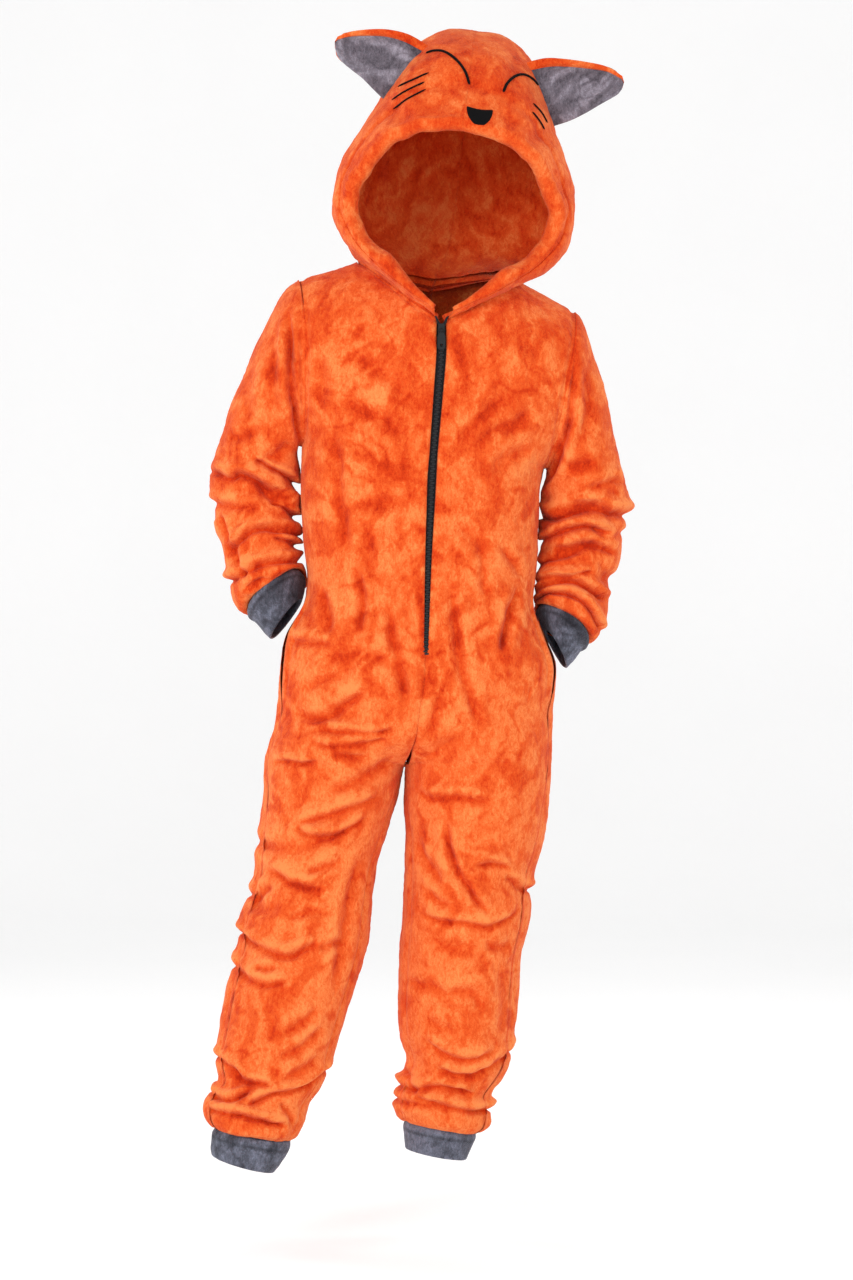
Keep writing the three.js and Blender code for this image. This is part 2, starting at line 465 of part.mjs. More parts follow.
for (const [side, sign] of SIDES) {
  const fn = middleGap(sign, hoodRolled(side, sign));
  cloth(`hood_${side}`, fn, arcs, [0.02, ...bands, 5, 6, 7, 8, 9, 9.9], WALL, 'plush');
  // the lining keeps inside the hood and reaches out to the end of the roll
  const base = middleGap(sign, hood(side, sign));
  const reach = (s) => 5 - 5.5 / Math.hypot(...sub(base(s, 5), base(s, 4)));
  const lining = (s, f) => base(s, f <= 4.5 ? f : mix(4.5, reach(s), (f - 4.5) / 0.5));
  const depth = (u, f) => mix(LINING_DEPTH, LINING_RIM_DEPTH, smooth((f - 3.7) / 1.3) * smooth((u - 0.05) / 0.45));
  cloth(`hood_lining_${side}`, lining, arcs.slice(3), [...bands, 5], WALL, 'plush', { depth });
}
// point of the hood's front above or beside (x, z) of its own frame
const onHood = (side, sign) => {
  const fn = hood(side, sign), spots = [];
  for (const s of range(24, 0.3, 1)) for (const f of range(24, 2.2, 5)) spots.push([fn(s, f), s, f]);
  return (x, z, lift) => {
    const want = fromHood([x, 0, z]);
    let [, s, f] = spots.reduce((m, q) => {
      const d = Math.hypot(q[0][0] - want[0], q[0][2] - want[2]) + 0.15 * (q[0][1] + 120);
      return d < m[3] ? [...q, d] : m;
    }, [null, 0, 0, 1e9]);
    for (let k = 0; k < 12; k += 1) {
      const p = fn(s, f), ds = sub(fn(s + STEP, f), p), df = sub(fn(s, f + STEP), p);
      const ex = want[0] - p[0], ez = want[2] - p[2], det = ds[0] * df[2] - ds[2] * df[0];
      if (Math.abs(det) < 1e-9) break;
      s = Math.min(1, Math.max(0.25, s + STEP * 0.8 * (ex * df[2] - ez * df[0]) / det));
      f = Math.min(5, Math.max(1.8, f + STEP * 0.8 * (ds[0] * ez - ds[2] * ex) / det));
    }
    const p = fn(s, f), n = normalOf(fn, s, f), out = dot(n, [0, -1, 0.3]) < 0 ? -1 : 1;
    return add(p, n, out * lift);
  };
};
for (const [side, sign] of SIDES) {
  const at = onHood(side, sign), rows = EAR[side], EARS = rows.length;
  const foot = [0, 0.5, 1].map((w) => at(sign * mix(rows[0][0], rows[0][2], w), mix(rows[0][1], rows[0][3], w), 6.5)[1]);
  // a from base to tip, b from the upper to the lower edge
  const ear = (b, a) => {
    const row = along((i) => rows[i], EARS, a * (EARS - 1));
    const y = along((i) => [foot[i]], 3, b * 2)[0], grow = smooth(a * 3);
    const bend = row[4] * Math.sin(Math.PI * Math.min(1, Math.max(0, b))) - 7 * grow * (1 - smooth(b * 4)) * (1 - smooth(a * 1.2 - 0.2));
    const p = fromHood([sign * mix(row[0], row[2], b), 0, mix(row[1], row[3], b)]);
    return [p[0], mix(y, foot[1] + 4, smooth(a * 1.5)) + row[5] + bend * 1.1, p[2]];
  };
  const facing = [0, -1, 0];
  const across = [0.1, 0.3, 0.5, 0.7, 0.88, 0.97], out = [0.04, 0.18, 0.34, 0.52, 0.7, 0.85, 0.94];
  cloth(`ear_back_${side}`, ear, [0, ...across, 1], [...out, 1], WALL, 'plush', { facing, depth: WALL + BACK_GAP });
  cloth(`ear_front_${side}`, ear, across, out, WALL, 'ear', { facing });
}
{
  // the nose lies on the left half's front and runs a little way onto the roll
  const fn = hoodRolled('left', 1);
  const at = (x, z, lift) => {
    const want = fromHood([x, 0, z]);
    let s = 1 - x / 390, f = 4.9;
    for (let k = 0; k < 20; k += 1) {
      const p = fn(s, f), ds = sub(fn(s + STEP / 2, f), fn(s - STEP / 2, f)), df = sub(fn(s, f + STEP / 2), fn(s, f - STEP / 2));
      const ex = want[0] - p[0], ez = want[2] - p[2], det = ds[0] * df[2] - ds[2] * df[0];
      s = Math.min(1.02, Math.max(0.7, s + STEP * 0.7 * (ex * df[2] - ez * df[0]) / det));
      f = Math.min(7.5, Math.max(4, f + STEP * 0.7 * (ds[0] * ez - ds[2] * ex) / det));
    }
    const n = normalOf(fn, s, f);
    return add(fn(s, f), n, (dot(n, [0, -1, 0.3]) < 0 ? -1 : 1) * lift);
  };
  const nose = (u, v) => {
    const w = NOSE.half * (1 - 0.72 * Math.max(0, v) ** 2.6), x = NOSE.x + NOSE.lean * v + (2 * u - 1) * w;
    return at(x, mix(NOSE.top - 2 * Math.sin(Math.PI * u), NOSE.bottom, v), 1.0 + BACK_GAP + NOSE.pad);
  };
  cloth('nose', nose, range(5), [0, 0.3, 0.58, 0.82, 1], 1.0, 'black', { facing: [0, -1, 0.6] });
}

// ---- zip ----------------------------------------------------------------------------
// points of the front middle at a height: the two fronts' shared edge
const frontMiddle = (z) => {
  const fn = panel('left', true);
  let lo = 0, hi = 17;
  for (let k = 0; k < 30; k += 1) { const m = (lo + hi) / 2; if (fn(0, m)[2] > z) lo = m; else hi = m; }
  return (lo + hi) / 2;
};
const zipAt = (x, z, depth) => {
  const side = x < 0 ? 'right' : 'left', fn = panel(side, true), v = frontMiddle(z);
  const wide = Math.hypot(...sub(fn(0.05, v), fn(0, v))) * 20, c = Math.abs(x) / wide;
  return add(fn(c, v), normalOf(fn, c, v).map((k) => (side === 'right' ? k : -k)), depth);
};
const zipDirection = dot(sub(zipAt(5, -200, 5), zipAt(5, -200, 0)), [0, 1, 0]) < 0 ? -1 : 1;
const zipPoint = (x, z, depth) => zipAt(x, z, depth * zipDirection);
const zipHeights = range(13, ZIP_TOP, ZIP_END - 12);
const strip = (name, x0, x1, columns, depth, wall, paint, heights) => cloth(name,
  (u, v) => zipPoint(mix(x0, x1, u), mix(heights[0], heights[heights.length - 1], v), depth),
  range(columns), range(heights.length - 1), wall, paint, { facing: [0, -1, 0] });
strip('zip_chain', -CHAIN_HALF, CHAIN_HALF, 2, WALL + BACK_GAP, 1.8, 'black', zipHeights);
strip('zip_tape_right', -TAPE_IN, -TAPE_OUT, 2, WALL + BACK_GAP + 0.4, TAPE_WALL, 'black', zipHeights);
strip('zip_tape_left', TAPE_IN, TAPE_OUT, 2, WALL + BACK_GAP + 0.4, TAPE_WALL, 'black', zipHeights);

// slider: a plate on the chain with two posts that hold the bar
const spot = zipPoint(0, SLIDER.z, 0);
const sliderFace = spot[1] + 0.1;                 // front of the slider's plate is in front of this
const barY = sliderFace - SLIDER.body - SLIDER.bar + 0.4;
const barZ = SLIDER.z - 1;
{
  const h = SLIDER.half, b = SLIDER.body;
  const solid = (name) => {
    const pts = [], faces = [];
    const x = spot[0], y0 = sliderFace, y1 = sliderFace - b;
    // filled cells of a plate, two posts and the bar between them
    const zs = [SLIDER.length / 2, barZ - SLIDER.z + SLIDER.barRadius, barZ - SLIDER.z - SLIDER.barRadius, -SLIDER.length / 2];
    const xs = [-h, -2.9, -1.9, 1.9, 2.9, h];
    const ys = [y0, y1, barY + SLIDER.barRadius, barY - SLIDER.barRadius];
    const filled = (i, j, k) => {
      if (i < 0 || i > 4 || j < 0 || j > 2 || k < 0 || k > 2) return false;
      if (j === 0) return true;                              // plate
      if (k !== 1) return false;
      if (j === 1) return i === 1 || i === 3;                // posts
      return i >= 1 && i <= 3;                               // bar
    };
    const ids = new Map();
    const vertex = (i, j, k) => {
      const key = `${i},${j},${k}`;
      if (!ids.has(key)) {
        const taper = (k === 0 || k === 3) && (i === 0 || i === 5) ? 0.86 : 1;
        ids.set(key, pts.length); pts.push([x + xs[i] * taper, ys[j], SLIDER.z + zs[k]]);
      }
      return ids.get(key);
    };
    const quad = (a, bb, c, d) => faces.push([a, bb, c], [a, c, d]);
    for (let i = 0; i < 5; i += 1) for (let j = 0; j < 3; j += 1) for (let k = 0; k < 3; k += 1) {
      if (!filled(i, j, k)) continue;
      const v = (a, bb, c) => vertex(i + a, j + bb, k + c);
      if (!filled(i - 1, j, k)) quad(v(0, 0, 0), v(0, 0, 1), v(0, 1, 1), v(0, 1, 0));
      if (!filled(i + 1, j, k)) quad(v(1, 0, 0), v(1, 1, 0), v(1, 1, 1), v(1, 0, 1));
      if (!filled(i, j - 1, k)) quad(v(0, 0, 0), v(1, 0, 0), v(1, 0, 1), v(0, 0, 1));
      if (!filled(i, j + 1, k)) quad(v(0, 1, 0), v(0, 1, 1), v(1, 1, 1), v(1, 1, 0));
      if (!filled(i, j, k - 1)) quad(v(0, 0, 0), v(0, 1, 0), v(1, 1, 0), v(1, 0, 0));
      if (!filled(i, j, k + 1)) quad(v(0, 0, 1), v(1, 0, 1), v(1, 1, 1), v(0, 1, 1));
    }
    body(name, pts, faces, 'gloss');
  };
  solid('zip_slider');
}
// pull tab: an eye round the bar and a flat tongue with a hole, cut from one outline in (z, y)
{
  const eyeParts = 16, x0 = spot[0], pts = [], faces = [];
  // eye: a ring of square section round the bar, its tongue hanging from the lower side
  const w = PULL.width / 2, ring = (r, x) => Array.from({ length: eyeParts }, (_, i) => {
    const a = 2 * Math.PI * i / eyeParts;
    return [x0 + x, barY + r * Math.sin(a), barZ + r * Math.cos(a)];
  });
  const loops = [ring(PULL.rim, -w), ring(PULL.rim, w), ring(PULL.eye, w), ring(PULL.eye, -w)];
  for (const loop of loops) pts.push(...loop);
  const id = (l, i) => (l % 4) * eyeParts + (i + eyeParts) % eyeParts;
  // the tongue leaves the eye's outer face between two of its facets
  const a0 = eyeParts / 2 - 1, a1 = eyeParts / 2 + 1;
  for (let l = 0; l < 4; l += 1) for (let i = 0; i < eyeParts; i += 1) {
    if (l === 0 && i >= a0 && i < a1) continue;
    faces.push([id(l, i), id(l + 1, i), id(l + 1, i + 1)], [id(l, i), id(l + 1, i + 1), id(l, i + 1)]);
  }
  const back = PULL.thick / 2, top = barZ - PULL.rim - 0.6, low = barZ - PULL.length;
  // outline of the tongue in (x, z) and its hole, the same count of corners
  const outline = [], hole = [], n = 16, hz = low + 4.6;
  for (let i = 0; i < n; i += 1) {
    const a = 2 * Math.PI * (i + 0.5) / n, c = Math.sin(a), s = Math.cos(a);
    const k = 1 / Math.max(Math.abs(c), Math.abs(s));
    const z = s > 0 ? mix(hz, top, Math.min(1, s * k)) : mix(hz, low, Math.min(1, -s * k));
    const round = s < 0 ? 1 - 0.28 * Math.max(0, -s * k - 0.6) / 0.4 * Math.abs(c * k) : 1;
    outline.push([PULL.half * c * k * round, z]);
    hole.push([PULL.hole * c, hz + PULL.hole * s]);
  }
  const start = pts.length;
  for (const y of [-back, back]) for (const [x, z] of [...outline, ...hole]) pts.push([x0 + x, barY + y, z]);
  const o = (layer, i) => start + layer * 2 * n + (i + n) % n;
  const g = (layer, i) => start + layer * 2 * n + n + (i + n) % n;
  const topLeft = n - 1, topRight = 0;             // the corners of the neck's seat
  for (let i = 0; i < n; i += 1) {
    faces.push([o(0, i), o(0, i + 1), g(0, i + 1)], [o(0, i), g(0, i + 1), g(0, i)]);
    faces.push([o(1, i), g(1, i + 1), o(1, i + 1)], [o(1, i), g(1, i), g(1, i + 1)]);
    faces.push([g(0, i), g(0, i + 1), g(1, i + 1)], [g(0, i), g(1, i + 1), g(1, i)]);
    if (i !== topLeft) faces.push([o(0, i), o(1, i), o(1, i + 1)], [o(0, i), o(1, i + 1), o(0, i + 1)]);
  }
  // neck between the eye's open facets and the tongue's top
  const e = (l, i) => id(l, i);
  const T = { fl: o(0, topLeft), fr: o(0, topRight), bl: o(1, topLeft), br: o(1, topRight) };
  // the eye's edges at a0 are on the +y side, at a1 on the -y side
  const mid = a0 + 1;
  faces.push([e(0, a0), T.bl, T.br], [e(0, a0), T.br, e(1, a0)]);
  faces.push([e(0, a1), e(1, a1), T.fr], [e(0, a1), T.fr, T.fl]);
  faces.push([e(0, a0), e(0, mid), T.bl], [e(0, mid), T.fl, T.bl], [e(0, mid), e(0, a1), T.fl]);
  faces.push([e(1, a0), T.br, e(1, mid)], [e(1, mid), T.br, T.fr], [e(1, mid), T.fr, e(1, a1)]);
  body('zip_pull', pts, faces, 'gloss');
}

// ---- pocket bags --------------------------------------------------------------------
// a flat bag behind each front panel, its mouth in the side seam
for (const [side, sign] of SIDES) {
  const shape = [
    // along, half height, half thickness: x from the side, y, z of each ring's middle
    [9, -15, -408, 38, 9], [20, -23, -411, 39, 9], [36, -34, -416, 40, 8.5], [54, -45, -426, 38, 7.5],
    [74, -53, -439, 33, 6], [92, -57, -450, 24, 4.5], [102, -59, -456, 9, 2.2],
  ];
  const edge = side === 'right' ? -166 : 118;
  const bag = (u, v) => {
    const [dx, y, z, h, w] = along((i) => shape[i], shape.length, v);
    const next = along((i) => shape[i], shape.length, v + 0.1), prev = along((i) => shape[i], shape.length, v - 0.1);
    const run = unit([-(next[0] - prev[0]) * sign, next[1] - prev[1], 0]), across = [-run[1], run[0], 0];
    const a = u * 2 * Math.PI;
    return add(add([edge - sign * dx, y, z], [0, 0, 1], h * Math.cos(a)), across, w * Math.sin(a));
  };
  const us = around.filter((_, i) => i % 2 === 0), rows = 7;
  const points = [], faces = [], n = us.length;
  const shells = [0, 1].map((inner) => range(rows - 1, 0, rows - 1).map((v) => us.map((u) => {
    const c = [0, 0.5].map((q) => bag(q, v)), middle = mix3(c[0], c[1], 0.5), p = bag(u, v);
    return inner ? mix3(middle, p, 1 - BAG_WALL / Math.hypot(...sub(bag(u, v), middle))) : p;
  })));
  for (const shell of shells) for (const ringRow of shell) points.push(...ringRow);
  const id = (l, j, i) => l * rows * n + j * n + (i + n) % n;
  for (let j = 0; j < rows - 1; j += 1) for (let i = 0; i < n; i += 1) {
    faces.push([id(0, j, i), id(0, j, i + 1), id(0, j + 1, i + 1)], [id(0, j, i), id(0, j + 1, i + 1), id(0, j + 1, i)]);
    if (j < rows - 2) faces.push([id(1, j, i), id(1, j + 1, i + 1), id(1, j, i + 1)], [id(1, j, i), id(1, j + 1, i), id(1, j + 1, i + 1)]);
  }
  for (let i = 0; i < n; i += 1) faces.push([id(0, 0, i), id(1, 0, i), id(1, 0, i + 1)], [id(0, 0, i), id(1, 0, i + 1), id(0, 0, i + 1)]);
  // closed far ends of both skins
  for (let i = 1; i < n - 1; i += 1) {
    faces.push([id(0, rows - 1, 0), id(0, rows - 1, i), id(0, rows - 1, i + 1)]);
    faces.push([id(1, rows - 2, 0), id(1, rows - 2, i + 1), id(1, rows - 2, i)]);
  }
  const used = new Map(), pts = [], tris = faces.map((f) => f.map((k) => {
    if (!used.has(k)) { used.set(k, pts.length); pts.push(points[k]); }
    return used.get(k);
  }));
  body(`pocket_bag_${side}`, pts, tris, 'plush');
}

export default group;
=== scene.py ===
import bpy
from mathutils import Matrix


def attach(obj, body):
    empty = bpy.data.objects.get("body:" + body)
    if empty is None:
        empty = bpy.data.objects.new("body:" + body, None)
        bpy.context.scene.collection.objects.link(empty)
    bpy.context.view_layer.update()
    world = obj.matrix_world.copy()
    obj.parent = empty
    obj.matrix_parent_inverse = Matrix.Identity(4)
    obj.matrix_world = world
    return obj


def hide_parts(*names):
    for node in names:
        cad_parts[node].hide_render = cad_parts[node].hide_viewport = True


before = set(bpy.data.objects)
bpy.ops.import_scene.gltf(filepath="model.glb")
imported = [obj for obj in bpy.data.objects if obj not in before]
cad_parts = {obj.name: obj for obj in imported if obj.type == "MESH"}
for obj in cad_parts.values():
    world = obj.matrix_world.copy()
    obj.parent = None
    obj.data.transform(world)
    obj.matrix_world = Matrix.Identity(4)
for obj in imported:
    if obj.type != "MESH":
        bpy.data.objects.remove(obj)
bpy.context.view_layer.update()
# Hooded plush one-piece. The forms repeat the solids' tables; the creases, the nap,
# the embroidery, the zip's teeth and the stitching are added here. Metres, +Z up.
import math

import bpy
import numpy as np
from mathutils import Vector
from mathutils.bvhtree import BVHTree

MM = 0.001
FINE = 1.0          # grid density

# ------------------------------------------------------------------ the same tables
WALL, SEAM = 2.0, 0.4
RIM_RADIUS, HOOD_TILT = 9.5, math.radians(7.2)
FOOT = (3.0, -86.0, -45.0)
HOOD_SHIFT = -4.0
LINING_DEPTH, LINING_RIM_DEPTH = 4.5, 16.0
NECK_SHARE, FRONT_DROP, BACK_DROP = 0.55, math.radians(23), math.radians(55)
ZIP_TOP, ZIP_END = -50.0, -415.0
OPEN_TOP, OPEN_END = 4.4, 1.4
ARM = {"right": (-158, 5, -155, -182, 62, 0.40), "left": (149, -31, 117, -207, 62, 0.40)}
YAW, DEEP = 0.12, 92.0
NECK_SIDE = {"right": (-92, 25), "left": (91, 1)}
APEX_Z = 20.0
TRUNK = [
    (-214, -156, -228, 113, 0, 92, 88, 2.6, 90, 0), (-250, -155.5, -259, 111, 0, 91, 85, 2.6, 90, 0),
    (-292, -153, -297, 109.5, 0, 90, 83, 2.6, 90, 0), (-328, -149.5, -332, 106, 0, 91, 83, 2.6, 88, 0),
    (-358, -153.5, -362, 105.5, 0, 92, 88, 2.6, 86, 5), (-392, -173, -396, 119.5, -1, 93, 95, 2.5, 84, 8),
    (-422, -178.5, -425, 130, -2, 94, 101, 2.4, 82, 7), (-450, -180.5, -453, 129, -1, 94, 103, 2.3, 79, 3),
    (-476, -182.5, -478, 126.5, 0, 92, 103, 2.2, 76, 0),
]
MIDDLE = np.array([
    (-45, 3, -6), (-91, 1, -14), (-135, -2.5, -22), (-179, -6, -28), (-223, -9, -33), (-245, -10, -34),
    (-289, -12, -33), (-332, -13.5, -32), (-376, -14.6, -32), (-415, -15.7, -33), (-442, -16.8, -34),
    (-475, -22, -36), (-513, -31, -38), (-545, -39.5, -40)], float)
LEG = {
    "right": [
        (-40.6, -541, -197, -541, 5, 84, 95, 2.2, 90, 74), (-47, -573, -199, -578, 2, 84, 92, 2.15, 76, 68),
        (-59, -614, -204, -622, -4, 82, 87, 2.1, 68, 65), (-71, -653, -209, -667, -10, 80, 83, 2.1, 64, 63),
        (-76, -694, -223, -706, -16, 79, 81, 2.1, 62, 62), (-80, -731, -228, -744, -24, 76, 79, 2.1, 62, 62),
        (-89, -766, -237, -782, -32, 74, 77, 2.1, 62, 62), (-102, -807, -245, -826, -42, 70, 74, 2.1, 62, 62),
        (-113.5, -845, -250, -861, -51, 66, 71, 2.1, 62, 62), (-122, -874, -246, -883, -57, 60, 66, 2.1, 62, 62),
        (-131.5, -893, -256, -896, -60, 58, 64, 2.1, 62, 62), (-144, -910, -262, -908, -64, 55, 60, 2.1, 62, 62),
        (-149, -928, -261, -922, -67, 53, 58, 2.1, 62, 62), (-157, -944, -254, -932, -70, 47, 52, 2.1, 62, 62),
        (-165, -950, -248.5, -934.6, -70, 39, 42, 2.1, 62, 62)],
    "left": [
        (-39.4, -541, 125, -541, 5, 84, 95, 2.2, 90, 74), (-41, -578, 122, -578, 3, 84, 92, 2.15, 76, 68),
        (-39, -622, 116, -622, 3, 82, 87, 2.1, 68, 65), (-40.5, -667, 104, -667, 4, 80, 84, 2.1, 64, 63),
        (-42.5, -712, 101, -712, 6, 77, 81, 2.1, 62, 62), (-45.5, -752, 91, -752, 8, 74, 79, 2.1, 62, 62),
        (-47, -800, 88, -800, 10, 71, 76, 2.1, 62, 62), (-46, -840, 84, -840, 12, 68, 73, 2.1, 62, 62),
        (-38, -867, 81, -869, 13, 64, 70, 2.1, 62, 62), (-44, -887, 72, -888, 14, 57, 64, 2.1, 62, 62),
        (-51, -904, 58, -908, 15, 53, 59, 2.1, 62, 62), (-52, -920, 60, -925, 16, 52, 57, 2.1, 62, 62),
        (-49, -933, 58, -943, 17, 48, 53, 2.1, 62, 62), (-43, -938, 48, -952, 17, 42, 46, 2.1, 62, 62),
        (-39, -937.6, 40, -951.6, 17, 37, 40, 2.1, 62, 62)],
}
SLEEVE = {
    "right": [
        (-178, -11, -158.2, -183, 1, 61, 62, 0.41, 0.10, 2), (-191, -37, -159.4, -184.5, 2, 60, 62, 0.43, 0.08, 2),
        (-206, -67, -160.4, -186, 3, 57, 60, 0.45, 0.06, 2.05), (-221, -104, -161, -188, 4, 53, 57, 0.47, 0.04, 2.1),
        (-235, -138, -161.3, -191, 6, 49, 54, 0.5, 0.02, 2.1), (-245, -166, -161.5, -196, 10, 48, 52, 0.5, 0, 2.1),
        (-256, -198, -162, -206, 16, 49, 52, 0.5, 0, 2.1), (-261, -221, -165, -218, 20, 50, 52, 0.5, 0, 2.1),
        (-256, -243, -170, -229, 20, 46, 49, 0.5, 0, 2.1), (-254, -260, -162, -244, 19, 48, 50, 0.5, 0, 2.1),
        (-251, -275, -168, -262, 18, 45, 47, 0.5, 0, 2.1), (-244, -291, -162, -280, 16, 46, 48, 0.5, 0, 2.1),
        (-241, -308, -166, -295, 14, 42, 44, 0.5, 0, 2.1), (-239, -330, -160, -310, 12, 43, 45, 0.5, 0, 2.1),
        (-231, -356, -156, -317, 10, 40, 42, 0.5, -0.12, 2.1, 0.18), (-223, -367, -154, -320, 10, 35, 37, 0.5, -0.22, 2.1, 0.3),
        (-214.5, -368.5, -156, -322, 10, 30.5, 32, 0.5, -0.28, 2.1, 0.37)],
    "left": [
        (161, -45, 119.5, -208, 1, 61, 62, 0.41, 0.10, 2), (170, -73, 120, -209, 2, 59, 62, 0.43, 0.08, 2),
        (180, -103, 120, -210.5, 3, 56, 59, 0.45, 0.06, 2.05), (188, -135, 119.6, -212, 5, 53, 56, 0.47, 0.04, 2.1),
        (196, -170, 119.2, -215, 7, 50, 53, 0.5, 0.02, 2.1), (203, -200, 118.6, -219, 10, 49, 52, 0.5, 0, 2.1),
        (210, -226, 119, -229, 16, 50, 52, 0.5, 0, 2.1), (213.5, -243, 125, -244, 19, 46, 49, 0.5, 0, 2.1),
        (212.5, -260, 116, -262, 20, 49, 51, 0.5, 0, 2.1), (208, -280, 118, -281, 19, 47, 49, 0.5, 0, 2.1),
        (205, -299, 125, -295, 18, 44, 46, 0.5, 0, 2.1), (199, -317, 115, -308, 16, 46, 48, 0.5, 0, 2.1),
        (189, -331, 115, -324, 14, 42, 44, 0.5, 0, 2.1), (190, -354, 112, -342, 12, 43, 45, 0.5, 0, 2.1),
        (184, -382, 109.5, -351, 10, 41, 43, 0.5, 0.12, 2.1, 0.2), (175, -398, 108.5, -358, 10, 36, 38, 0.5, 0.22, 2.1, 0.32),
        (165.5, -401.5, 110.5, -362, 10, 31, 33, 0.5, 0.28, 2.1, 0.38)],
}
WRIST = {
    "right": [
        (-214.2, -368.9, -155.7, -322.4, 10, 30.5, 32, 0.5, -0.28, 2.1, 0.37), (-214, -374, -153.5, -325.5, 10, 33, 34.5, 0.5, -0.27, 2.1, 0.36),
        (-208, -377.5, -153, -331.5, 10, 30.5, 32, 0.5, -0.24, 2.1, 0.33), (-203, -383, -153.5, -337, 9.5, 28, 29.5, 0.5, -0.19, 2.1, 0.27),
        (-198, -389.5, -154, -344, 9, 27, 28.5, 0.5, -0.14, 2.1, 0.21), (-191.5, -396.5, -155.5, -352, 8, 25, 27, 0.5, -0.09, 2.1, 0.13)],
    "left": [
        (165.2, -401.9, 110.2, -362.4, 10, 31, 33, 0.5, 0.28, 2.1, 0.38), (165, -407, 109.5, -366, 10, 33.5, 35.5, 0.5, 0.27, 2.1, 0.37),
        (159, -410, 111, -371, 10, 31, 33, 0.5, 0.24, 2.1, 0.34), (154.5, -416, 113, -375.5, 9.5, 28.5, 30.5, 0.5, 0.19, 2.1, 0.28),
        (149.5, -422.5, 115.5, -380.5, 9, 27, 29, 0.5, 0.14, 2.1, 0.22), (143.5, -429, 118.5, -387, 8, 25, 27, 0.5, 0.09, 2.1, 0.14)],
}
ANKLE = {
    "right": [
        (-248.4, -935.2, -165.1, -950.6, -70, 39, 42, 0.5, 0, 2.1), (-251.5, -941, -165.5, -957.5, -70.5, 40, 43, 0.5, 0, 2.1),
        (-252, -948, -169, -965, -71, 38, 41, 0.5, 0, 2.1), (-253, -956, -175.5, -975, -71.5, 37, 39, 0.5, 0, 2.1),
        (-252, -964, -182.5, -984, -72, 35, 37, 0.5, 0, 2.1)],
    "left": [
        (40, -952.2, -39.1, -938.2, 17, 37, 40, 0.5, 0, 2.1), (40.5, -959, -41, -945, 17, 38, 41, 0.5, 0, 2.1),
        (37, -966, -40.5, -953, 17, 36, 39, 0.5, 0, 2.1), (33.5, -974, -40, -961, 17, 35, 38, 0.5, 0, 2.1),
        (30, -982, -39, -969, 17, 34, 37, 0.5, 0, 2.1)],
}
ARCH = [
    [(9, -86, 3), (54, -76, 31), (96, -38, 61), (112, 14, 78), (98, 56, 92), (54, 82, 101), (0, 92, 104)],
    [(10, -88, 5), (61, -82, 36), (112, -44, 72), (134, 20, 116), (116, 64, 168), (66, 96, 206), (0, 106, 222)],
    [(10, -89, 7), (66, -86, 40), (122, -52, 84), (134.5, -6, 150), (105.5, 18, 226), (64, 32, 309), (0, 35, 332)],
    [(10, -91, 8), (69, -89, 43), (121, -64, 90), (132, -42, 144), (104, -46, 212), (60, -54, 279), (0, -56, 306)],
    [(11, -93, 10), (69, -92, 45), (108, -76, 84), (124, -64, 124), (106, -80, 170), (64, -104, 206), (0, -113, 219)],
]
EAR = {
    "right": [(54, 304, 92, 241, 3, 0), (74, 310, 105, 251, 9, 0), (97, 312, 118, 261.5, 12, 2),
              (119, 309.5, 131.5, 270, 12, 5), (138, 305.5, 143.5, 278.5, 8, 8), (152, 299, 152.5, 289.5, 3, 10)],
    "left": [(63, 298, 100, 238, 3, 0), (82, 303.5, 116, 246, 9, 0), (104, 306, 131, 256, 12, 2),
             (128, 306.5, 146, 268, 12, 5), (150, 305, 160.5, 279, 8, 8), (168.5, 297.5, 169.5, 287.5, 3, 10)],
}
NOSE_X, NOSE_TOP, NOSE_BOTTOM, NOSE_HALF, NOSE_LEAN = 15.3, 231.5, 211.5, 14.2, 1.5
SLIDER_Z = -58.0

# ------------------------------------------------------------------ numeric helpers
SIDES = (("right", -1.0), ("left", 1.0))


def mix(a, b, t):
    return a + (b - a) * t


def smooth(t):
    k = np.clip(t, 0.0, 1.0)
    return k * k * (3 - 2 * k)


def power(v, n):
    return np.sign(v) * np.abs(v) ** (2.0 / n)


def unit(a):
    return a / np.maximum(np.linalg.norm(a, axis=-1, keepdims=True), 1e-12)


def cubic(rows, k):
    """Values between the rows (first axis) at positions k, carried on straight past the ends."""
    rows = np.asarray(rows, float)
    n = len(rows)
    full = np.concatenate([[2 * rows[0] - rows[1]], rows, [2 * rows[-1] - rows[-2]]])
    k = np.asarray(k, float)
    i = np.clip(np.floor(k).astype(int), 0, n - 2)
    t = (k - i).reshape(k.shape + (1,) * (rows.ndim - 1))
    a, b, c, d = full[i], full[i + 1], full[i + 2], full[i + 3]
    return b + 0.5 * t * (c - a + t * (2 * a - 5 * b + 4 * c - d + t * (3 * (b - c) + d - a)))


def by_height(table, z):
    z = np.asarray(z, float)
    zs = table[:, 0]
    i = np.clip(np.searchsorted(-zs, -z, side="right") - 1, 0, len(zs) - 2)
    t = np.clip((z - zs[i]) / (zs[i + 1] - zs[i]), 0, 1)
    return cubic(table, i + t)


def grid_normals(p, ring=False):
    """Normals of a grid of points, (u, v, 3)."""
    if ring:
        du = np.roll(p, -1, 0) - np.roll(p, 1, 0)
    else:
        du = np.gradient(p, axis=0)
    dv = np.gradient(p, axis=1)
    return unit(np.cross(du, dv))


_rng = np.random.RandomState(11)
_hash = _rng.permutation(4096)
_vals = _rng.rand(4096) * 2 - 1


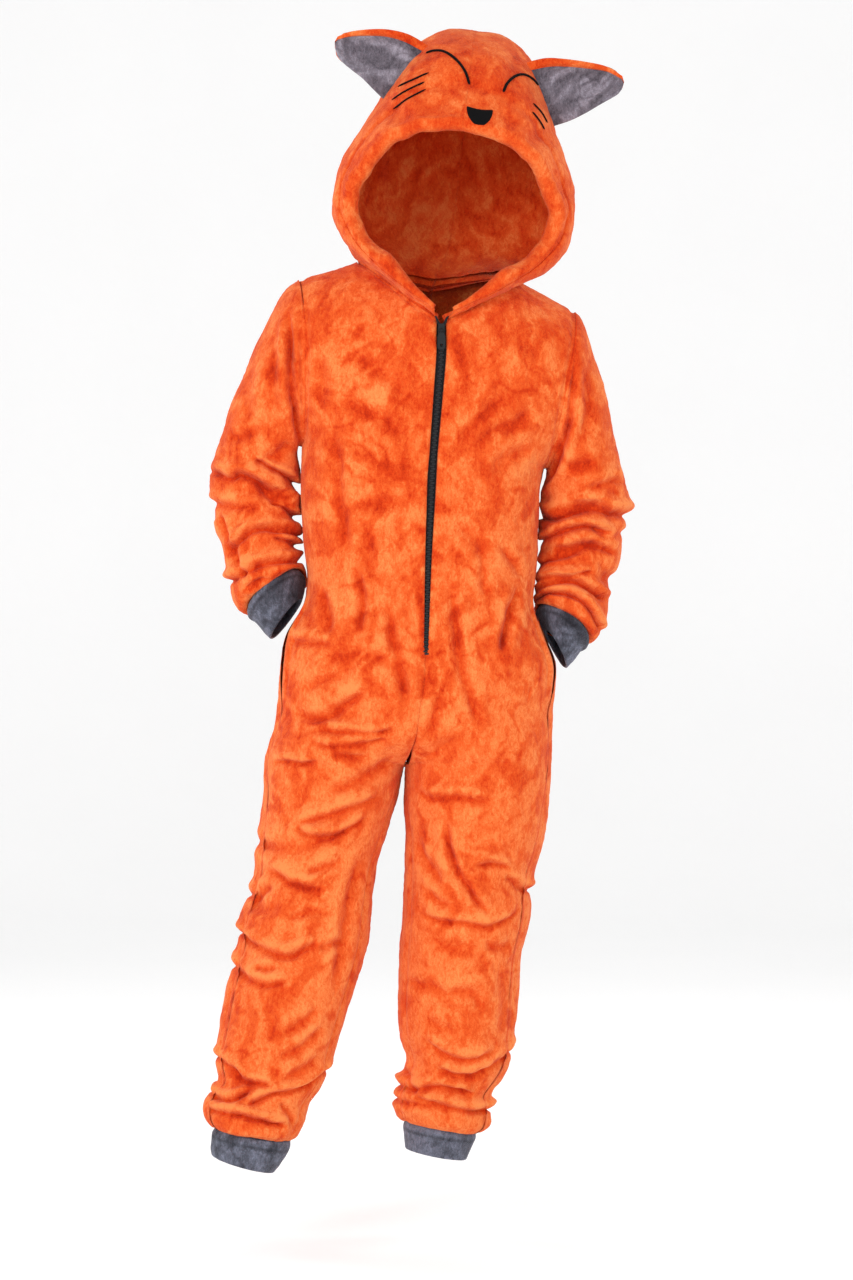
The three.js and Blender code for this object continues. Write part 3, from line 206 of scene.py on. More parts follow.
def noise(p, size, seed=0):
    """Smooth value noise, about -1 to 1, with features of the given size in mm (one number or three)."""
    q = p / np.asarray(size, float) + seed * 17.31
    i = np.floor(q).astype(np.int64)
    f = q - i
    f = f * f * f * (f * (f * 6 - 15) + 10)
    out = 0.0
    for dx in (0, 1):
        for dy in (0, 1):
            for dz in (0, 1):
                h = _hash[(i[..., 2] + dz) % 4096]
                h = _hash[(h + i[..., 1] + dy) % 4096]
                h = _hash[(h + i[..., 0] + dx) % 4096]
                w = (f[..., 0] if dx else 1 - f[..., 0]) * (f[..., 1] if dy else 1 - f[..., 1]) * (f[..., 2] if dz else 1 - f[..., 2])
                out = out + w * _vals[h]
    return out


# ------------------------------------------------------------------ forms, as the solids'
def armhole(side, angle, front):
    ox, oz, ix, iz, deep, wide = ARM[side]
    c, s = math.cos(angle), math.sin(angle)
    cx, cz = mix(ox, ix, wide), mix(oz, iz, wide)
    ex, ez = (ox, oz) if c > 0 else (ix, iz)
    y = (-1 if front else 1) * deep * s
    return np.array([cx + (ex - cx) * abs(c) - YAW * y, y, cz + (ez - cz) * abs(c)])


def middle_height(angle, front):
    return mix(armhole("right", angle, front)[2], armhole("left", angle, front)[2], 0.57)


def chest(side, front, angle, c):
    end, z = armhole(side, angle, front), middle_height(angle, front)
    mid = by_height(MIDDLE, z)[1 if front else 2]
    stop = math.acos(min(1.0, (abs(end[1]) / DEEP) ** 1.2))
    t = c * stop
    out = power(np.sin(t), 2.4) / power(math.sin(stop), 2.4)
    return np.stack([mix(mid, end[0], out), (-1 if front else 1) * DEEP * power(np.cos(t), 2.4), mix(z, end[2], out)], -1)


def shoulder(side, front, rise, c):
    q = chest(side, front, math.pi / 2, c)
    nx, nz = NECK_SIDE[side]
    ox, oz, ix, iz, deep, wide = ARM[side]
    k, tip = c / NECK_SHARE, (c - NECK_SHARE) / (1 - NECK_SHARE)
    low = c < NECK_SHARE
    apex_x = np.where(low, mix(FOOT[0] if front else -4.0, nx, np.sin(np.minimum(1, k) * math.pi / 2)), mix(nx, ox, tip))
    apex_z = np.where(low, mix(APEX_Z, nz, k * k), mix(nz, oz, tip))
    full = mix(FRONT_DROP if front else BACK_DROP, math.pi / 2, np.where(low, np.maximum(0, k) ** 1.3, 1.0))
    a = full * rise
    ax = apex_x + (mix(ox, ix, wide) - ox) * c
    cs, sn = np.cos(a), np.sin(a)
    return np.stack([ax + (q[..., 0] - ax) * cs + (apex_x - ax) * sn, q[..., 1] * cs, q[..., 2] + (apex_z - q[..., 2]) * sn], -1)


def trunk_ring(side, row, t):
    rz, rx, lz, lx, y, f, b, n = row[:8]
    x, z = (rx, rz) if side == "right" else (lx, lz)
    zm = mix(rz, lz, 0.53)
    m = by_height(MIDDLE, zm)
    out = power(np.sin(t), n)
    mid = np.where(np.cos(t) > 0, m[1], m[2])
    return np.stack([mix(mid, x, out), y - np.where(np.cos(t) > 0, f, b) * power(np.cos(t), n), mix(zm, z, out)], -1)


def leg_ring(side, row, t):
    ix, iz, ox, oz, y, f, b, n = row[:8]
    s = 0.5 + 0.5 * power(np.sin(t), n)
    return np.stack([mix(ix, ox, s), y - np.where(np.cos(t) > 0, f, b) * power(np.cos(t), n), mix(iz, oz, s)], -1)


def trunk_angle(row, front, c):
    stop = math.radians(row[8] + (-row[9] if front else row[9]))
    return c * stop if front else math.pi - c * (math.pi - stop)


def leg_angle(row, front, c):
    a, b = math.radians(row[8]), math.radians(row[9])
    return mix(-a, b, c) if front else mix(-a + 2 * math.pi, b, c)


def body_stations(side, front, c):
    rows = [shoulder(side, front, r, c) for r in (1.33, 1, 0.67, 0.34)]
    rows += [chest(side, front, math.radians(a), c) for a in (90, 115, 138, 160, 180)]
    rows += [trunk_ring(side, r, trunk_angle(r, front, c)) for r in TRUNK]
    last, first = TRUNK[-1], LEG[side][0]
    a = trunk_ring(side, last, trunk_angle(last, front, c))
    b = leg_ring(side, first, leg_angle(first, front, c))
    for w in (0.3, 0.55, 0.78):
        q, k = w * math.pi / 2, smooth(c / 0.4)
        fill = (-1 if front else 1) * 9 * math.sin(math.pi * w) * np.sin(math.pi * np.clip(c, 0, 1))
        rows.append(np.stack([
            mix(a[..., 0], b[..., 0], smooth(w)),
            mix(a[..., 1], b[..., 1], mix(1 - math.cos(q), smooth(w), k)) + fill,
            mix(a[..., 2], b[..., 2], mix(math.sin(q), w, k))], -1))
    rows += [leg_ring(side, r, leg_angle(r, front, c)) for r in LEG[side]]
    return np.array(rows)


STATIONS = 4 + 5 + len(TRUNK) + 3 + len(LEG["right"])


def ring_stations(rows, angle):
    out = []
    for row in rows:
        ox, oz, ix, iz, y, f, b, wide, skew, n = row[:10]
        rise = row[10] if len(row) > 10 else 0.0
        c, s = np.cos(angle), np.sin(angle)
        cx, cz = mix(ox, ix, wide), mix(oz, iz, wide)
        k = np.abs(power(c, n))
        dy = -np.where(s > 0, f, b) * power(s, n)
        out.append(np.stack([cx + (np.where(c > 0, ox, ix) - cx) * k - skew * dy, y + dy, cz + (np.where(c > 0, oz, iz) - cz) * k - rise * dy], -1))
    return np.array(out)


CT, ST = math.cos(HOOD_TILT), math.sin(HOOD_TILT)


def from_hood(p):
    x, y, z = p[..., 0], p[..., 1], p[..., 2]
    xs = x + HOOD_SHIFT * smooth(z / 60)
    return np.stack([FOOT[0] + xs * CT + z * ST, y + 0 * xs, FOOT[2] - xs * ST + z * CT], -1)


def hood_arch(side, sign, i, s):
    """One arch at stations s, mirrored past the middle seam."""
    other = "left" if side == "right" else "right"
    if np.any(s > 1):
        out = np.empty(s.shape + (3,))
        over = s > 1
        out[~over] = hood_arch(side, sign, i, s[~over])
        out[over] = hood_arch(other, -sign, i, 2 - s[over])
        return out
    if i == 0:
        front = s < 0.5
        c = NECK_SHARE * np.where(front, s, 1 - s) * 2
        c = np.maximum(c, 0)
        p = np.where(front[..., None], shoulder(side, True, 1, c), shoulder(side, False, 1, c))
        x = np.where(s < 0.12, mix(FOOT[0] + sign * 8, p[..., 0], s / 0.12), p[..., 0])
        return np.stack([x, p[..., 1], p[..., 2] + SEAM * 2.6], -1)
    p = cubic(np.array(ARCH[i - 1], float), s * 6)
    p = p * np.array([sign, 1, 1])
    return from_hood(p)


def hood_grid(side, sign, s, f):
    st = np.array([hood_arch(side, sign, i, s) for i in range(6)])
    return np.moveaxis(cubic(st, f), 0, 1)       # (s, f, 3)


# ------------------------------------------------------------------ creases
# one row per fold: side (f front, b back, a all round), depth, half width, whether its upper side
# rolls over the lower one, and the points x z that it runs through; mm
SLEEVEFOLDS = [
    # right sleeve
    ("f", 6, 5, 0, [(-171, -25), (-167, -70), (-166, -109), (-159, -154), (-152, -193)]),
    ("a", 7, 7, 1, [(-251, -209), (-238, -216), (-223, -213), (-205, -220), (-189, -233), (-176, -243)]),
    ("a", 5, 4, 1, [(-198, -201), (-180, -213), (-167, -223), (-151, -223)]), ("a", 4.5, 4, 1, [(-182, -247), (-171, -257), (-160, -266), (-147, -265)]),
    ("a", 6, 5, 1, [(-231, -293), (-214, -277), (-195, -272), (-176, -274), (-160, -283)]), ("a", 4.5, 4, 1, [(-178, -286), (-162, -295), (-152, -306), (-142, -309)]),
    ("a", 5, 4.5, 0, [(-244, -269), (-235, -294), (-223, -320)]), ("a", 6, 5, 1, [(-243, -334), (-225, -324), (-207, -315), (-182, -308), (-156, -305)]),
    ("f", 3.5, 4, 0, [(-220, -343), (-207, -335), (-194, -328)]), ("f", 2.5, 9, 0, [(-209, -87), (-216, -126), (-211, -165)]),
    ("f", 2.5, 8, 0, [(-182, -70), (-187, -120), (-191, -154)]), ("a", 3.5, 7, 1, [(-254, -243), (-234, -247), (-209, -249)]),
    ("f", 2.5, 7, 0, [(-239, -176), (-217, -171), (-198, -163)]), ("f", 3, 6, 0, [(-167, -176), (-182, -193), (-203, -200)]),
    # left sleeve
    ("f", 6, 5, 0, [(150, -70), (146, -131), (141, -165), (129, -198), (117, -234)]),
    ("a", 7, 8, 1, [(111, -248), (129, -258), (150, -251), (171, -247), (189, -254), (211, -256)]),
    ("a", 5, 4.5, 1, [(117, -288), (129, -283), (142, -275), (162, -270), (185, -275)]), ("a", 6.5, 7, 1, [(109, -316), (124, -305), (149, -294), (171, -290), (191, -296)]),
    ("a", 4.5, 4, 1, [(109, -334), (122, -328), (140, -325), (160, -323)]), ("a", 6, 5, 1, [(107, -347), (122, -336), (142, -330), (162, -335), (182, -348)]),
    ("a", 5, 4.5, 1, [(107, -358), (124, -345), (144, -346), (162, -357), (178, -381)]), ("f", 3.5, 6, 1, [(160, -231), (176, -225), (193, -219), (207, -220)]),
    ("a", 3.5, 6, 1, [(178, -276), (191, -283), (205, -278)]), ("f", 2.5, 9, 0, [(161, -98), (165, -131), (162, -176)]), ("f", 3, 7, 0, [(178, -309), (185, -323), (182, -336)]),
    ("f", 3, 8, 0, [(140, -209), (156, -203), (173, -205)]),
]
BODYFOLDS = [
    # trunk
    ("f", 3.2, 6, 0, [(-130, -338), (-125, -363), (-123, -398)]), ("f", 3.4, 6, 0, [(-97, -311), (-87, -341), (-86, -365), (-91, -400)]),
    ("f", 3.4, 7, 0, [(-57, -349), (-51, -398), (-43, -438), (-34, -477)]), ("f", 3.4, 7, 0, [(10, -321), (16, -376), (23, -425), (33, -458), (46, -503)]),
    ("f", 2.6, 6, 0, [(48, -289), (48, -316), (49, -354)]), ("f", 4.5, 6, 0, [(89, -335), (81, -361), (73, -390), (67, -415)]),
    ("f", 2.6, 6, 0, [(-26, -338), (-19, -371), (-18, -409)]), ("f", 3.4, 6, 1, [(-176, -394), (-156, -399), (-136, -400), (-112, -405)]),
    ("f", 2.8, 8, 0, [(-134, -433), (-117, -420), (-88, -415), (-62, -421), (-49, -444)]), ("f", 2.6, 8, 0, [(-158, -458), (-134, -445), (-106, -433), (-84, -418)]),
    ("f", 3, 7, 1, [(-163, -469), (-145, -482), (-121, -477), (-97, -462), (-75, -449)]), ("f", 3.2, 5, 1, [(-136, -493), (-108, -498), (-71, -500), (-46, -494)]),
    ("f", 3, 5, 1, [(-147, -509), (-119, -514), (-81, -511), (-57, -506)]), ("f", 2.6, 5, 0, [(-121, -523), (-103, -527), (-75, -527)]),
    ("f", 3.8, 4.5, 1, [(-187, -534), (-169, -531), (-152, -534), (-134, -530)]), ("f", 3, 7, 0, [(-130, -565), (-99, -557), (-71, -543), (-49, -526)]),
    ("f", 2.6, 8, 0, [(-121, -162), (-114, -195), (-112, -234), (-106, -272), (-99, -311)]), ("f", 2.2, 9, 0, [(-136, -80), (-130, -113), (-134, -146)]),
    ("f", 2.4, 8, 0, [(79, -131), (59, -144), (33, -166), (24, -185)]), ("f", 2.4, 8, 0, [(109, -139), (83, -161), (55, -170), (33, -196)]),
    ("f", 2.2, 8, 0, [(105, -188), (79, -196), (55, -216)]), ("f", 2.2, 9, 0, [(-103, -82), (-79, -98), (-53, -113), (-38, -133)]),
    ("f", 2.2, 9, 0, [(-114, -131), (-88, -146), (-55, -161), (-42, -183)]), ("f", 2.2, 9, 0, [(-103, -245), (-71, -251), (-38, -245), (-22, -232)]),
    ("f", 2, 9, 0, [(17, -267), (41, -289), (44, -311)]), ("f", 2, 9, 0, [(-75, -278), (-81, -306), (-73, -332)]), ("f", 2.6, 7, 0, [(0, -453), (-5, -482), (-16, -508)]),
    ("f", 2.6, 6, 0, [(66, -294), (79, -311), (94, -332)]),
    # right trouser leg
    ("f", 3.2, 5, 1, [(-162, -602), (-141, -594), (-110, -586), (-84, -577), (-62, -569)]),
    ("f", 3.8, 5, 1, [(-162, -598), (-147, -611), (-121, -613), (-97, -604), (-73, -587)]), ("a", 2.6, 8, 0, [(-204, -624), (-180, -628), (-154, -627), (-125, -617)]),
    ("f", 3.4, 6, 1, [(-195, -648), (-173, -658), (-151, -668), (-125, -670)]), ("f", 2.4, 5, 0, [(-149, -656), (-130, -648), (-108, -643)]),
    ("f", 2.8, 5, 0, [(-169, -705), (-147, -697), (-125, -698)]), ("a", 5.5, 6, 1, [(-222, -723), (-202, -733), (-180, -742), (-162, -742), (-143, -732)]),
    ("f", 3.6, 5, 1, [(-206, -755), (-193, -758), (-178, -753)]), ("a", 4.2, 6, 1, [(-239, -751), (-224, -761), (-208, -770), (-193, -774), (-176, -772)]),
    ("f", 3, 5, 0, [(-136, -736), (-119, -733), (-99, -729)]), ("f", 3, 7, 0, [(-79, -624), (-95, -661), (-103, -705), (-110, -749), (-119, -793)]),
    ("f", 2.6, 7, 0, [(-195, -793), (-184, -815), (-189, -839)]), ("f", 2.8, 6, 0, [(-180, -832), (-160, -822), (-143, -810), (-132, -795)]),
    ("f", 3.2, 6, 0, [(-184, -856), (-160, -848), (-141, -836), (-125, -817)]), ("f", 3.2, 6, 0, [(-176, -878), (-149, -866), (-130, -851)]),
    ("a", 4, 5, 1, [(-246, -858), (-228, -865), (-215, -877), (-193, -881)]), ("a", 5.5, 5, 1, [(-202, -900), (-180, -892), (-158, -889), (-141, -882), (-123, -871)]),
    ("a", 4.5, 4, 1, [(-258, -893), (-243, -899), (-230, -899), (-217, -893)]), ("a", 6.5, 5, 1, [(-246, -912), (-219, -915), (-195, -921), (-176, -926)]),
    ("f", 4, 4, 0, [(-176, -902), (-165, -915), (-160, -933)]), ("f", 2.6, 9, 0, [(-213, -683), (-195, -696), (-173, -685)]),
    ("a", 4, 6, 1, [(-224, -675), (-208, -680), (-195, -672)]),
    # left trouser leg
    ("f", 2.8, 6, 1, [(-33, -559), (-11, -571), (13, -569), (39, -573), (66, -575)]), ("f", 3.4, 5, 0, [(6, -591), (7, -616), (14, -641), (28, -667), (44, -690), (57, -700)]),
    ("f", 2.6, 6, 0, [(-31, -614), (-22, -635), (-9, -653), (2, -672)]), ("f", 3.8, 4.5, 1, [(35, -647), (57, -644), (81, -650)]),
    ("a", 3.6, 5, 1, [(81, -663), (92, -672), (110, -680)]), ("f", 3, 5, 0, [(-16, -674), (-2, -687), (15, -691)]),
    ("f", 3.8, 5, 1, [(-22, -698), (-2, -707), (24, -709), (53, -713), (75, -706), (92, -689)]), ("f", 2.8, 6, 0, [(-42, -774), (-22, -781), (-5, -784), (9, -792)]),
    ("f", 2.8, 7, 0, [(4, -793), (24, -786), (39, -792), (46, -810)]), ("f", 2.4, 8, 0, [(-18, -815), (-2, -828), (17, -832)]),
    ("f", 3.8, 6, 1, [(-22, -835), (0, -853), (24, -862), (48, -859), (64, -850)]), ("a", 4.5, 6, 1, [(4, -876), (28, -882), (50, -876), (70, -865), (88, -854)]),
    ("a", 5.5, 5, 1, [(-49, -896), (-29, -897), (-9, -893), (11, -896), (28, -901)]), ("f", 4, 4.5, 0, [(-42, -876), (-33, -892), (-29, -907)]),
    ("a", 6.5, 5, 1, [(-18, -910), (4, -915), (28, -921), (59, -925)]), ("a", 4, 4, 0, [(-51, -914), (-35, -916), (-18, -918)]),
    ("f", 2.6, 6, 0, [(48, -729), (66, -740), (81, -733)]), ("f", 2.6, 8, 0, [(68, -756), (72, -795), (68, -839)]), ("f", 2.4, 9, 0, [(-11, -729), (11, -738), (37, -733)]),
    # back, like those of the front
    ("b", 3.7, 9, 0, [(-150, -180), (-118, -175), (-90, -160)]), ("b", 3.7, 9, 1, [(108, -205), (77, -199), (50, -182)]),
    ("b", 3.0, 9, 1, [(-120, -240), (-82, -258), (-40, -262)]), ("b", 3.0, 9, 0, [(84, -262), (49, -280), (10, -284)]),
    ("b", 3.4, 9, 1, [(-100, -300), (-31, -321), (40, -316)]), ("b", 3.0, 9, 0, [(-30, -350), (-47, -400), (-80, -440)]),
    ("b", 3.0, 9, 0, [(-10, -360), (12, -410), (50, -450)]), ("b", 4.1, 7, 1, [(-44, -536), (-80, -524), (-110, -500)]),
    ("b", 4.1, 7, 1, [(-36, -540), (7, -529), (44, -504)]), ("b", 3.7, 8, 0, [(-190, -570), (-137, -575), (-90, -598)]),
    ("b", 3.7, 8, 1, [(118, -574), (62, -577), (10, -600)]), ("b", 3.4, 8, 1, [(-196, -640), (-141, -640), (-90, -660)]),
    ("b", 3.4, 8, 0, [(112, -640), (44, -638), (-20, -660)]), ("b", 5.3, 7, 1, [(-222, -712), (-158, -694), (-92, -700)]),
    ("b", 5.1, 7, 1, [(-226, -744), (-160, -753), (-96, -738)]), ("b", 5.3, 7, 0, [(100, -712), (32, -720), (-34, -704)]),
    ("b", 5.1, 7, 1, [(98, -746), (31, -735), (-36, -748)]), ("b", 3.7, 7, 1, [(-240, -810), (-181, -794), (-120, -800)]),
    ("b", 3.7, 7, 0, [(88, -812), (27, -797), (-36, -804)]), ("b", 2.5, 10, 0, [(-110, -40), (-79, -70), (-60, -110)]),
    ("b", 2.5, 10, 0, [(90, -60), (59, -90), (40, -130)]),
]


def run_of(side, pts):
    """A fold's line, sampled; one that goes round the tube is carried past its ends."""
    q = np.array(pts, float)
    if side == "a":
        q = np.concatenate([[q[0] + unit(q[0] - q[1]) * 11], q, [q[-1] + unit(q[-1] - q[-2]) * 11]])
    return cubic(q, np.linspace(0, len(q) - 1, 6 * (len(q) - 1) + 1))


def gain(pts):
    """The trunk's and thighs' folds are broad and full, the sleeves' as listed."""
    x, z = np.mean(pts, 0)
    return 1.45 if -180 < x < 110 and z > -700 else 1.2


def drawn(folds):
    return [(side, depth * gain(pts), wide, lip, run_of(side, pts)) for side, depth, wide, lip, pts in folds]


SLEEVELINES, BODYLINES = drawn(SLEEVEFOLDS), drawn(BODYFOLDS)


def creases(p, n, lines):
    """Offset along the normal, and the painted shade of each point: positive in a fold's trough, negative (painted
    light) on a ridge.
    """
    flat, nf = p.reshape(-1, 3), n.reshape(-1, 3)
    off, deep = np.zeros(len(flat)), np.zeros(len(flat))
    wob = noise(flat, 13, 3) * 1.3
    vary = 1 + 0.3 * noise(flat, 26, 14)
    for side, depth, wide, lip, line in lines:
        pad = 3.6 * wide
        lo, hi = line.min(0) - pad, line.max(0) + pad
        near = (flat[:, 0] > lo[0]) & (flat[:, 0] < hi[0]) & (flat[:, 2] > lo[1]) & (flat[:, 2] < hi[1])
        if side == "f":
            near &= nf[:, 1] < 0.3
        elif side == "b":
            near &= nf[:, 1] > -0.3
        if not near.any():
            continue
        q, m = flat[near][:, [0, 2]], nf[near]
        best, sign, at = np.full(len(q), 1e9), np.zeros(len(q)), np.zeros(len(q))
        for i in range(len(line) - 1):
            a, d = line[i], line[i + 1] - line[i]
            t = np.clip(((q - a) @ d) / (d @ d), 0, 1)
            e = q - a - t[:, None] * d
            dist = np.hypot(e[:, 0], e[:, 1])
            closer = dist < best
            best = np.where(closer, dist, best)
            up = np.array([-d[1], d[0]]) * (1 if d[0] >= 0 else -1)
            sign = np.where(closer, np.where(e @ up >= 0, 1.0, -1.0), sign)
            at = np.where(closer, (i + t) / (len(line) - 1), at)
        k = (best * sign + wob[near]) / (wide * (0.8 + 0.35 * np.sin(math.pi * np.clip(at, 0, 1))))
        ends = 0.16 if side == "a" else 0.24
        fade = smooth(at / ends) * smooth((1 - at) / ends) * vary[near]
        if side == "f":
            fade = fade * smooth((0.3 - m[:, 1]) / 0.5)
        elif side == "b":
            fade = fade * smooth((0.3 + m[:, 1]) / 0.5)
        if lip:
            trough = np.exp(-((k + 0.35) / 0.62) ** 2)
            ridge = 0.62 * np.exp(-((k - 1.15) / 0.85) ** 2) - 0.22 * np.exp(-((k + 1.7) / 1.1) ** 2)
        else:
            trough = np.exp(-((k / 0.75) ** 2))
            ridge = 0.36 * np.exp(-((k - 1.7) / 0.9) ** 2) + 0.36 * np.exp(-((k + 1.7) / 0.9) ** 2)
        off[near] += depth * fade * (ridge - trough)
        # painted shade in the trough and painted light on the ridges, in colour only; off carries the shape
        shade = fade * min(1.0, depth / 5.0)
        deep[near] += shade * (trough - 0.55 * np.clip(ridge, 0, 1) / 0.5)
    return off.reshape(p.shape[:-1]), np.clip(deep, -0.6, 1).reshape(p.shape[:-1])


def warped(p, reach, size, seed):
    return p + reach * np.stack([noise(p, size, seed), noise(p, size, seed + 1), noise(p, size, seed + 2)], -1)


def nap(p, amount=1.0):
    """Height of the crumpled cloth and the crushed pile, in mm."""
    w = warped(p, 7, 24, 61)
    h = 1.0 * noise(w, (44, 44, 52), 1) + 0.62 * noise(w, (19, 19, 24), 2)
    h = h + 0.5 * noise(w, (9, 9, 11), 4) + 0.38 * noise(w, 5.2, 5)
    return amount * h


def lie(p):
    """Which way the pile lies, dark -1 to light 1: patches brushed in several directions."""
    w = warped(warped(p, 10, 32, 21), 4, 11, 24)
    way = 1.3 * noise(p, 58, 30)
    total, weight = 0.0, 0.0
    for k, tilt in enumerate((-50, -8, 38)):
        c, s = math.cos(math.radians(tilt)), math.sin(math.radians(tilt))
        q = np.stack([w[..., 0] * c - w[..., 2] * s, w[..., 1], w[..., 0] * s + w[..., 2] * c], -1)
        g = np.exp(-((way - (k - 1) * 0.6) / 0.4) ** 2) + 1e-3
        total = total + g * (noise(q, (13, 20, 34), 31 + k) + 0.75 * noise(q, (6, 9, 15), 41 + k))
        weight = weight + g
    # lighter down the legs, darker on the chest
    legs_chest_tone = 0.17 * smooth((-430 - p[..., 2]) / 200) - 0.13 * smooth((p[..., 2] + 340) / 160)
    m = 0.14 + legs_chest_tone + 0.75 * total / weight + 0.26 * noise(p, 38, 51)
    # thin lines where the pile parts
    r = noise(warped(p, 8, 18, 71), (24, 28, 36), 74)
    part = np.exp(-((r / 0.09) ** 2)) * smooth(0.55 + 1.4 * noise(p, 52, 77))
    return 0.9 * np.tanh(2.3 * m) + 0.1 - 0.85 * part


# ------------------------------------------------------------------ meshes
def grid_faces(nu, nv, ring):
    i = np.arange(nu if ring else nu - 1)[:, None]
    j = np.arange(nv - 1)[None, :]
    a, b = i * nv + j, ((i + 1) % nu) * nv + j
    return np.stack([a, b, b + 1, a + 1], -1).reshape(-1, 4)


def make(name, p, ring=False, replaces=(), mat=None, painted_shading=None, body="garment", pile=True):
    """A grid of points (u, v, 3) in mm as a mesh piece."""
    nu, nv = p.shape[:2]
    verts = (p.reshape(-1, 3) * MM).astype(np.float32)
    quads = grid_faces(nu, nv, ring)
    me = bpy.data.meshes.new(name)
    me.vertices.add(len(verts))
    me.vertices.foreach_set("co", verts.ravel())
    me.loops.add(quads.size)
    me.loops.foreach_set("vertex_index", quads.ravel().astype(np.int32))
    me.polygons.add(len(quads))
    me.polygons.foreach_set("loop_start", (np.arange(len(quads)) * 4).astype(np.int32))
    me.polygons.foreach_set("loop_total", np.full(len(quads), 4, np.int32))
    me.update(calc_edges=True)
    me.polygons.foreach_set("use_smooth", np.ones(len(quads), bool))
    if pile:
        # painted shade and painted light per vertex, in folds, tucked seams and hollows, read by the plush material
        at = me.attributes.new("painted_shading", "FLOAT", "POINT")
        at.data.foreach_set("value", (np.zeros(nu * nv) if painted_shading is None else painted_shading.reshape(-1)).astype(np.float32))
        at = me.attributes.new("lie", "FLOAT", "POINT")
        at.data.foreach_set("value", lie(p).reshape(-1).astype(np.float32))
    me.validate()
    return place(name, me, replaces, mat, body)


def place(name, me, replaces=(), mat=None, body="garment"):
    obj = bpy.data.objects.new(name, me)
    bpy.context.scene.collection.objects.link(obj)
    if mat is not None:
        me.materials.append(mat)
    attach(obj, body)
    if replaces:
        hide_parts(*replaces)
    return obj


def outward(p, n, centre=None):
    c = p.reshape(-1, 3).mean(0) if centre is None else np.asarray(centre)
    return n if (n * (p - c)).sum() > 0 else -n


# ------------------------------------------------------------------ materials
def nodes_of(name):
    m = bpy.data.materials.new(name)
    m.use_nodes = True
    nt = m.node_tree
    bsdf = nt.nodes["Principled BSDF"]
    return m, nt, bsdf


def add(nt, kind, **sets):
    n = nt.nodes.new(kind)
    for k, v in sets.items():
        setattr(n, k, v)
    return n


def texnoise(nt, vec, scale, detail=2.0, rough=0.5, dist=0.0):
    n = add(nt, "ShaderNodeTexNoise")
    n.inputs["Scale"].default_value = scale
    n.inputs["Detail"].default_value = detail
    n.inputs["Roughness"].default_value = rough
    n.inputs["Distortion"].default_value = dist
    nt.links.new(vec, n.inputs["Vector"])
    return n.outputs["Fac"]


def mapped(nt, vec, scale, rot=(0, 0, 0)):
    m = add(nt, "ShaderNodeMapping")
    m.inputs["Scale"].default_value = scale
    m.inputs["Rotation"].default_value = rot
    nt.links.new(vec, m.inputs["Vector"])
    return m.outputs["Vector"]


def ramp(nt, fac, stops):
    r = add(nt, "ShaderNodeValToRGB")
    els = r.color_ramp.elements
    while len(els) < len(stops):
        els.new(0.5)
    for e, (pos, col) in zip(els, stops):
        e.position = pos
        e.color = (*col, 1) if len(col) == 3 else col
    nt.links.new(fac, r.inputs["Fac"])
    return r.outputs["Color"]


def math2(nt, op, a, b=None, clamp=False):
    n = add(nt, "ShaderNodeMath", operation=op, use_clamp=clamp)
    for k, v in enumerate([a, b]):
        if v is None:
            continue
        if isinstance(v, (int, float)):
            n.inputs[k].default_value = v
        else:
            nt.links.new(v, n.inputs[k])
    return n.outputs[0]


def lin(r, g, b):
    return tuple(((c / 255) / 12.92 if c / 255 <= 0.04045 else (((c / 255) + 0.055) / 1.055) ** 2.4) for c in (r, g, b))


def plush(name, deep, low, mid, high, sheen_tint, sheen=0.3, contrast=1.0):
    """Crushed short pile: patches that lie over, fine tufts between them, painted shade in the folds and painted light
    on the ridges.
    """
    m, nt, bsdf = nodes_of(name)
    pos = add(nt, "ShaderNodeTexCoord").outputs["Object"]
    painted_shading = add(nt, "ShaderNodeAttribute", attribute_name="painted_shading").outputs["Fac"]
    lay = add(nt, "ShaderNodeAttribute", attribute_name="lie").outputs["Fac"]
    tuft = texnoise(nt, mapped(nt, pos, (1.0, 1.0, 0.62), (0, 0.5, 0)), 300, 3, 0.62, 0.9)
    cross = texnoise(nt, mapped(nt, pos, (1.0, 1.0, 0.55), (0, -0.7, 0)), 190, 3, 0.6, 1.2)
    grain = texnoise(nt, mapped(nt, pos, (1.0, 1.0, 0.7)), 1250, 2, 0.6)
    s = math2(nt, "MULTIPLY", lay, 0.25 * contrast)
    for n, w in ((tuft, 0.74), (cross, 0.56), (grain, 0.52)):
        s = math2(nt, "ADD", s, math2(nt, "MULTIPLY", math2(nt, "SUBTRACT", n, 0.5), w * contrast))
    s = math2(nt, "ADD", s, 0.55)
    # painted shade: the colour darkens where the shading attribute is positive and lightens (painted light) where it is
    # negative
    s = math2(nt, "SUBTRACT", s, math2(nt, "MULTIPLY", painted_shading, 0.36), clamp=True)
    col = ramp(nt, s, [(0.0, deep), (0.3, low), (0.6, mid), (1.0, high)])
    nt.links.new(col, bsdf.inputs["Base Color"])
    bsdf.inputs["Roughness"].default_value = 1.0
    bsdf.inputs["Specular IOR Level"].default_value = 0.1
    bsdf.inputs["Sheen Weight"].default_value = sheen
    bsdf.inputs["Sheen Roughness"].default_value = 0.45
    bsdf.inputs["Sheen Tint"].default_value = (*sheen_tint, 1)
    h = math2(nt, "ADD", math2(nt, "MULTIPLY", tuft, 0.75), math2(nt, "MULTIPLY", grain, 0.5))
    h = math2(nt, "ADD", h, math2(nt, "MULTIPLY", cross, 0.5))
    bump = add(nt, "ShaderNodeBump")
    bump.inputs["Strength"].default_value = 0.8
    bump.inputs["Distance"].default_value = 0.0017
    nt.links.new(h, bump.inputs["Height"])
    nt.links.new(bump.outputs["Normal"], bsdf.inputs["Normal"])
    return m


